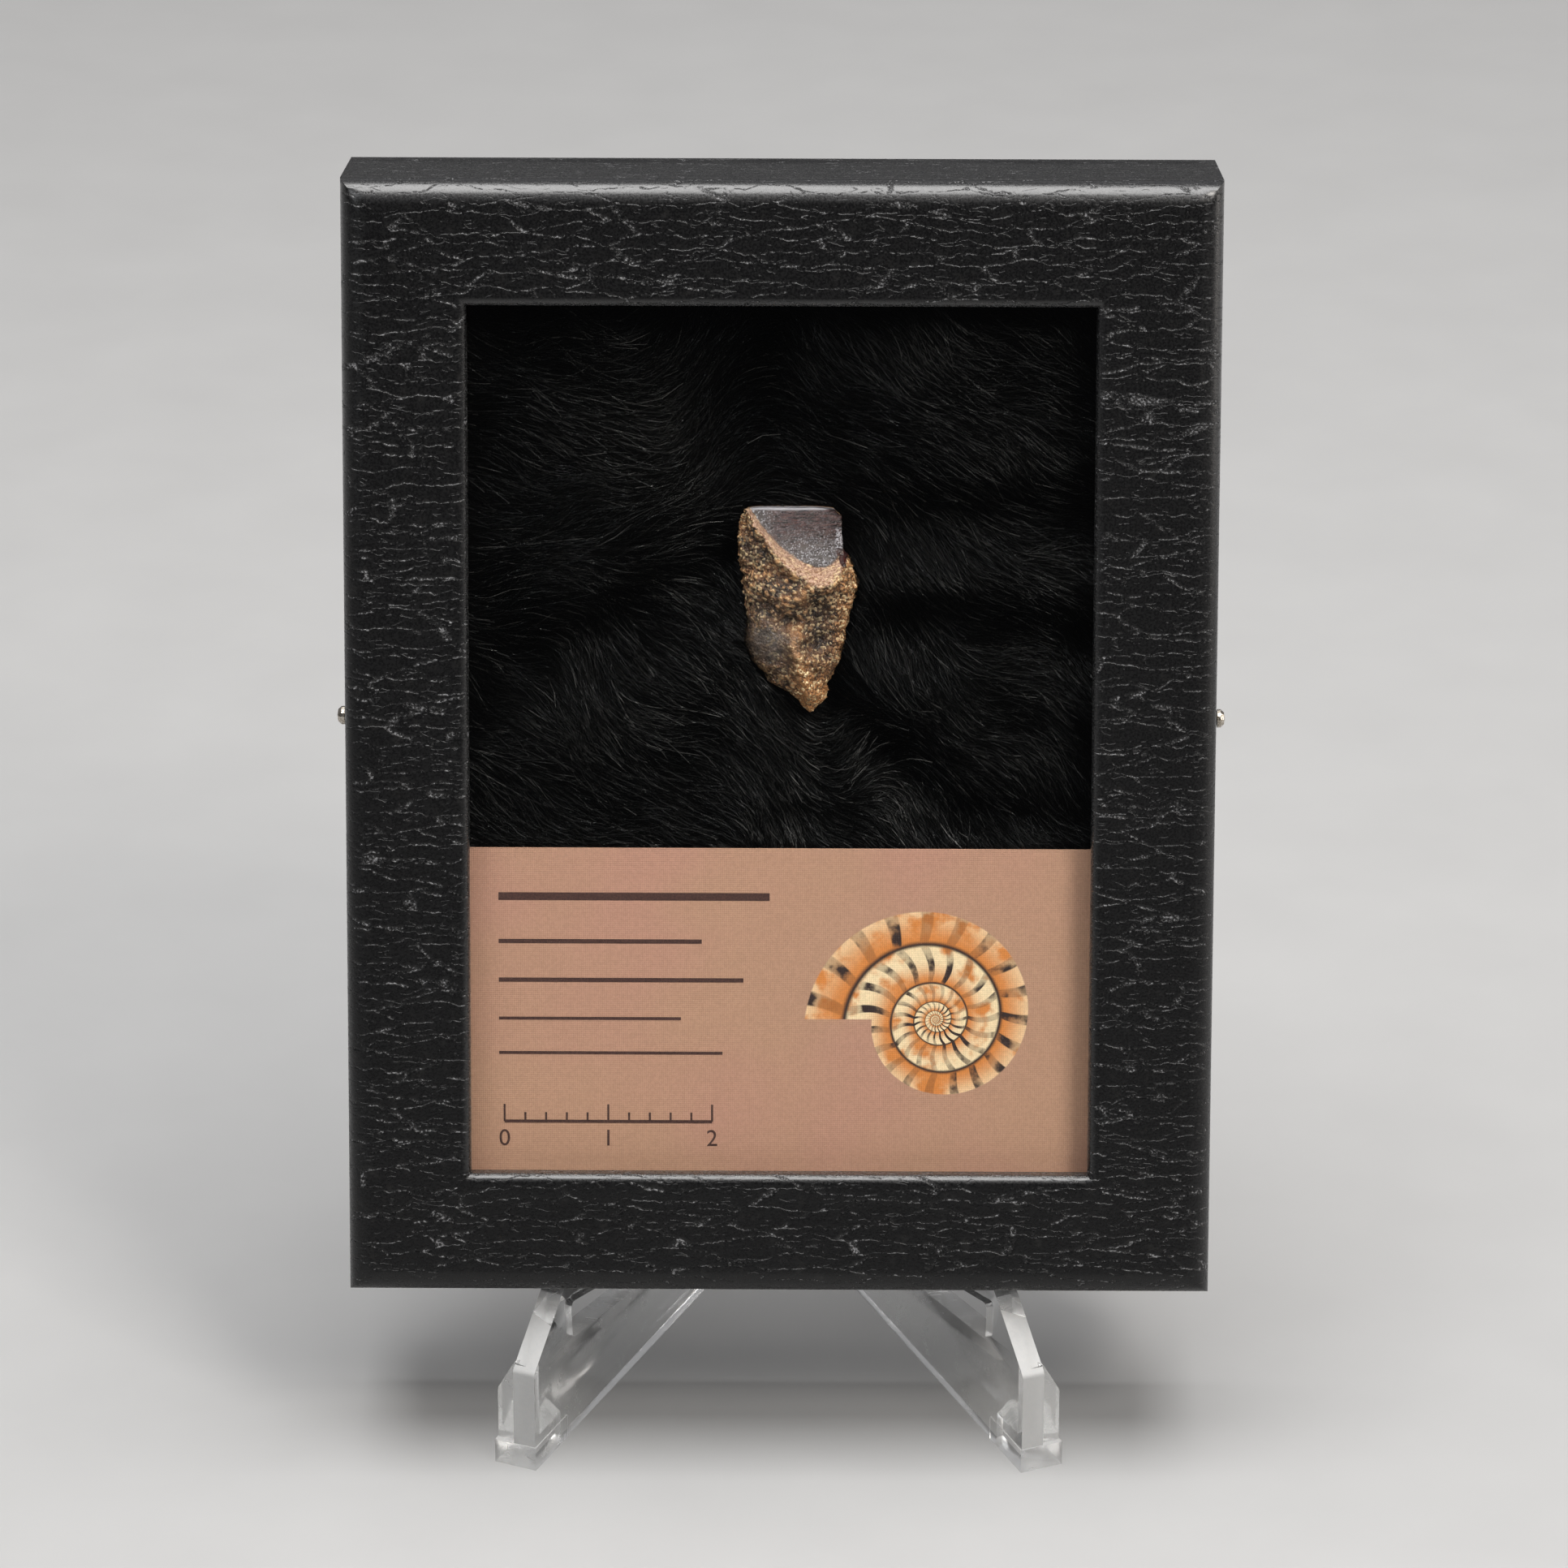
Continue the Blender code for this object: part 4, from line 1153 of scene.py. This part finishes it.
def makeCardMaterial():
    colour = cardColours
    material, tree, shader = newMaterial("printedCard", Specular_IOR_Level=0.4)
    spot = place(tree, casePlace)[0]
    x, _, z = parts(spot)
    stock = mixColour(spread(clouds(spot, 0.05, 2.0), 0.35, 0.65), colour["stock"], colour["stockPink"])
    # coiled shell: ribbed whorls on a logarithmic spiral
    dx, dz = minus(x, card["shellX"]), minus(z, card["shellZ"])
    radius = maths("SQRT", plus(times(dx, dx), times(dz, dz)))
    angle = maths("ARCTAN2", dz, dx)
    widening = maths("LOGARITHM", maths("DIVIDE", radius, card["shellRadius"]), math.e)
    turns = minus(maths("DIVIDE", widening, math.log(card["growth"])), maths("DIVIDE", angle, math.tau))
    inner = maths("FRACT", turns)
    ribBend = times(maths("SINE", times(inner, math.pi)), 1.6)
    rib = maths("SINE", plus(times(angle, card["ribs"]), ribBend))
    blotch = clouds(spot, 0.45, 4.0)
    shell = mixColour(spread(inner, 0.05, 0.75), colour["orange"], colour["cream"])
    shell = mixColour(spread(blotch, 0.5, 0.68), shell, colour["orange"])
    stripes = times(spread(rib, 0.30, 0.62), spread(blotch, 0.36, 0.52, 1.0, 0.35))
    seam = larger(spread(inner, 0.0, 0.09, 1.0, 0.0), spread(inner, 0.93, 1.0))
    shell = mixColour(larger(stripes, seam), shell, colour["stripe"])
    printed = mixColour(spread(turns, -0.51, -0.49), shell, stock)
    # halftone weave of the print
    cell = parts(stretched(spot, (22.0, 22.0, 22.0), (0.0, math.radians(45), 0.0)))
    weave = times(maths("SINE", cell[0]), maths("SINE", cell[2]))
    speckle, grit = place(tree, fineGrain, Place=spot, Size=0.25, Sharp=0.3)
    light = plus(plus(times(weave, 0.10), times(speckle, 0.12)), 0.90)
    rough = spread(speckle, 0.0, 1.0, 0.42, 0.55)
    dress(shader, vectors("MULTIPLY", printed, light), rough, plus(weave, grit), 0.000012)
    return material


inkLook = {
    "size": 0.2,
    "sharp": 0.3,
    "tones": (cardColours["ink"], srgb(74, 50, 44)),
    "roughness": (0.4, 0.55),
    "relief": 0.00001,
}
inkMarks = {
    "raise": 0.00002,
    "rules": [  # left, right, height, thickness, in millimetres
        (-27.0, -1.0, 38.6, 0.75), (-27.0, -7.5, 34.2, 0.42), (-27.0, -3.5, 30.4, 0.42),
        (-27.0, -9.5, 26.6, 0.30), (-27.0, -5.5, 23.2, 0.30),
    ],
    "scaleLeft": -26.5,
    "scaleHeight": 16.4,
    "scaleLength": 20.0,
    "digits": 2.3,
}


def flatBar(bm, left, right, low, high):
    front, back = card["front"] - inkMarks["raise"], card["front"] + inkMarks["raise"]
    size = ((right - left) / 1000, back - front, (high - low) / 1000)
    middle = ((left + right) / 2000, (front + back) / 2, (low + high) / 2000)
    bmesh.ops.create_cube(bm, size=1.0, matrix=Matrix.Translation(middle) @ Matrix.Diagonal((*size, 1.0)))


def makeInkMarks(material):
    bm = bmesh.new()
    for left, right, height, thick in inkMarks["rules"]:
        flatBar(bm, left, right, height - thick / 2, height + thick / 2)
    start, base, length = inkMarks["scaleLeft"], inkMarks["scaleHeight"], inkMarks["scaleLength"]
    flatBar(bm, start, start + length, base - 0.15, base + 0.15)
    for i in range(11):
        tall = 1.7 if i % 5 == 0 else 0.9
        spot = start + length * i / 10
        flatBar(bm, spot - 0.1, spot + 0.1, base, base + tall)
    for i in range(3):
        words = bpy.data.curves.new("digit", "FONT")
        words.body = str(i)
        words.size = inkMarks["digits"] / 1000
        words.extrude = inkMarks["raise"]
        words.align_x = "CENTER"
        digit = bpy.data.objects.new("digit", words)
        bpy.context.scene.collection.objects.link(digit)
        mesh = bpy.data.meshes.new_from_object(digit.evaluated_get(bpy.context.evaluated_depsgraph_get()))
        bpy.data.objects.remove(digit)
        spot = ((start + length * i / 2) / 1000, card["front"], (base - 2.4) / 1000)
        mesh.transform(Matrix.Translation(spot) @ Matrix.Rotation(math.radians(90), 4, "X"))
        bm.from_mesh(mesh)
    marks = newObject("cardPrint", bm, [material], pose)
    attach(marks, body)


finish("label_card", makeCardMaterial())
makeInkMarks(makeGrained("darkInk", inkLook, Specular_IOR_Level=0.4))
print("card printed")


# Easel: clear leaves with frosted front strips

easel = {
    "spread": math.radians(24.0),
    "thickness": 0.0023,
    "frontGap": 0.0472,  # between the leaves' inner faces at the front
    "frontStrip": 0.0145,  # how far back the frosted front strip runs
    "stripTop": 0.0146,  # where the frosted strip ends
    "bend": 0.01049,  # height of the front edge's bend
    "rise": 0.9,  # slope above it
    "edge": 0.00014,  # eased edges of the plastic
    "flangeRoot": (0.0002, 0.0032),  # reach of the flange's root behind the front edge
    "flangeTop": 0.0118,
    "tuck": 0.00002,  # how far the root goes under the sloping edge
    "footTop": 0.003,
    "slopeFrom": 0.0105,
    "halfStrip": 0.0009,
    # finish: transmission, base tone, roughness, bump in metres
    "clearPlastic": (1.0, 0.985, 0.010, 0.000004),
    "cutPlastic": (0.88, 0.93, 0.10, 0.00002),
    "frostedPlastic": (0.25, 0.44, 0.48, 0.00003),
}


def makePlastic(name):
    clearness, tone, roughness, relief = easel[name]
    material, tree, shader = newMaterial(name, Transmission_Weight=clearness, IOR=1.49)
    spot = vectors("MULTIPLY", add(tree, "ShaderNodeTexCoord").outputs["Object"], (1000.0, 1000.0, 1000.0))
    marks = place(tree, scuffs, Place=spot, Scratch=0.25, Haze=0.14)[0]
    speckle, grit = place(tree, fineGrain, Place=spot, Size=0.5, Sharp=0.3)
    tint = mixColour(speckle, (tone, tone, tone * 0.99, 1), (tone * 0.97, tone * 0.98, tone * 0.98, 1))
    dress(shader, tint, plus(marks, scaled(speckle, 0.3 * roughness, roughness)), grit, relief)
    letLampsThrough(shader, 0.93)
    return material


def makeLeaf(side, materials):
    node = "easel_leaf_" + side
    bm = bmesh.new()
    bm.from_mesh(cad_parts[node].data)
    bmesh.ops.remove_doubles(bm, verts=bm.verts, dist=2e-6)
    bmesh.ops.dissolve_limit(bm, angle_limit=math.radians(0.6), verts=bm.verts, edges=bm.edges)
    sign = 1 if side == "left" else -1
    turn = sign * easel["spread"]
    along = Vector((math.sin(turn), math.cos(turn), 0.0))
    broad = Vector((math.cos(turn), -math.sin(turn), 0.0))
    inner = Vector((-sign * easel["frontGap"] / 2, cadBox[0][1], 0.0))

    nearest, farthest = easel["flangeRoot"]
    for vert in bm.verts:
        off, back = (vert.co - inner).dot(broad) * sign, (vert.co - inner).dot(along)
        slope = easel["bend"] + easel["rise"] * back
        inPlate = -easel["thickness"] - 0.00001 < off < 0.0 and nearest < back < farthest
        if inPlate and slope + 0.00003 < vert.co.z < easel["flangeTop"]:
            vert.co.z = slope - easel["tuck"]

    def onStrip(face):
        # the narrow front edge of the plate, not the flange beside it
        middle = face.calc_center_median()
        off = (middle - inner).dot(broad) * sign + easel["thickness"] / 2
        near = middle.y < cadBox[0][1] + easel["frontStrip"] and middle.z > easel["footTop"]
        root = middle.z > easel["slopeFrom"] and face.normal.z > 0.5
        return near and abs(off) < easel["halfStrip"] and (root or face.normal.dot(along) < -0.5)

    strips = [face for face in bm.faces if onStrip(face)]
    cut = set(strips)
    for face in strips:
        cut.update(face.edges)
        cut.update(face.verts)
    end = Vector((inner.x, 0.0, easel["stripTop"]))
    bmesh.ops.bisect_plane(bm, geom=list(cut), plane_co=end, plane_no=(0.35, 0.0, 1.0))
    for face in bm.faces:
        if abs(face.normal.dot(broad)) < 0.3:
            face.material_index = 2 if onStrip(face) and face.calc_center_median().z < end.z else 1
    sharp = [edge for edge in bm.edges if edge.is_manifold and edge.calc_face_angle(0) > math.radians(35)]
    eased = {"offset": easel["edge"], "segments": 2, "profile": 0.5, "clamp_overlap": True}
    bmesh.ops.bevel(bm, geom=sharp, affect="EDGES", **eased)
    leaf = newObject("clearLeaf_" + side, bm, materials, None, 25)
    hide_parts(node)
    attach(leaf, body)


leafFinishes = [makePlastic(name) for name in ("clearPlastic", "cutPlastic", "frostedPlastic")]
for side in ("left", "right"):
    makeLeaf(side, leafFinishes)
print("easel finished")
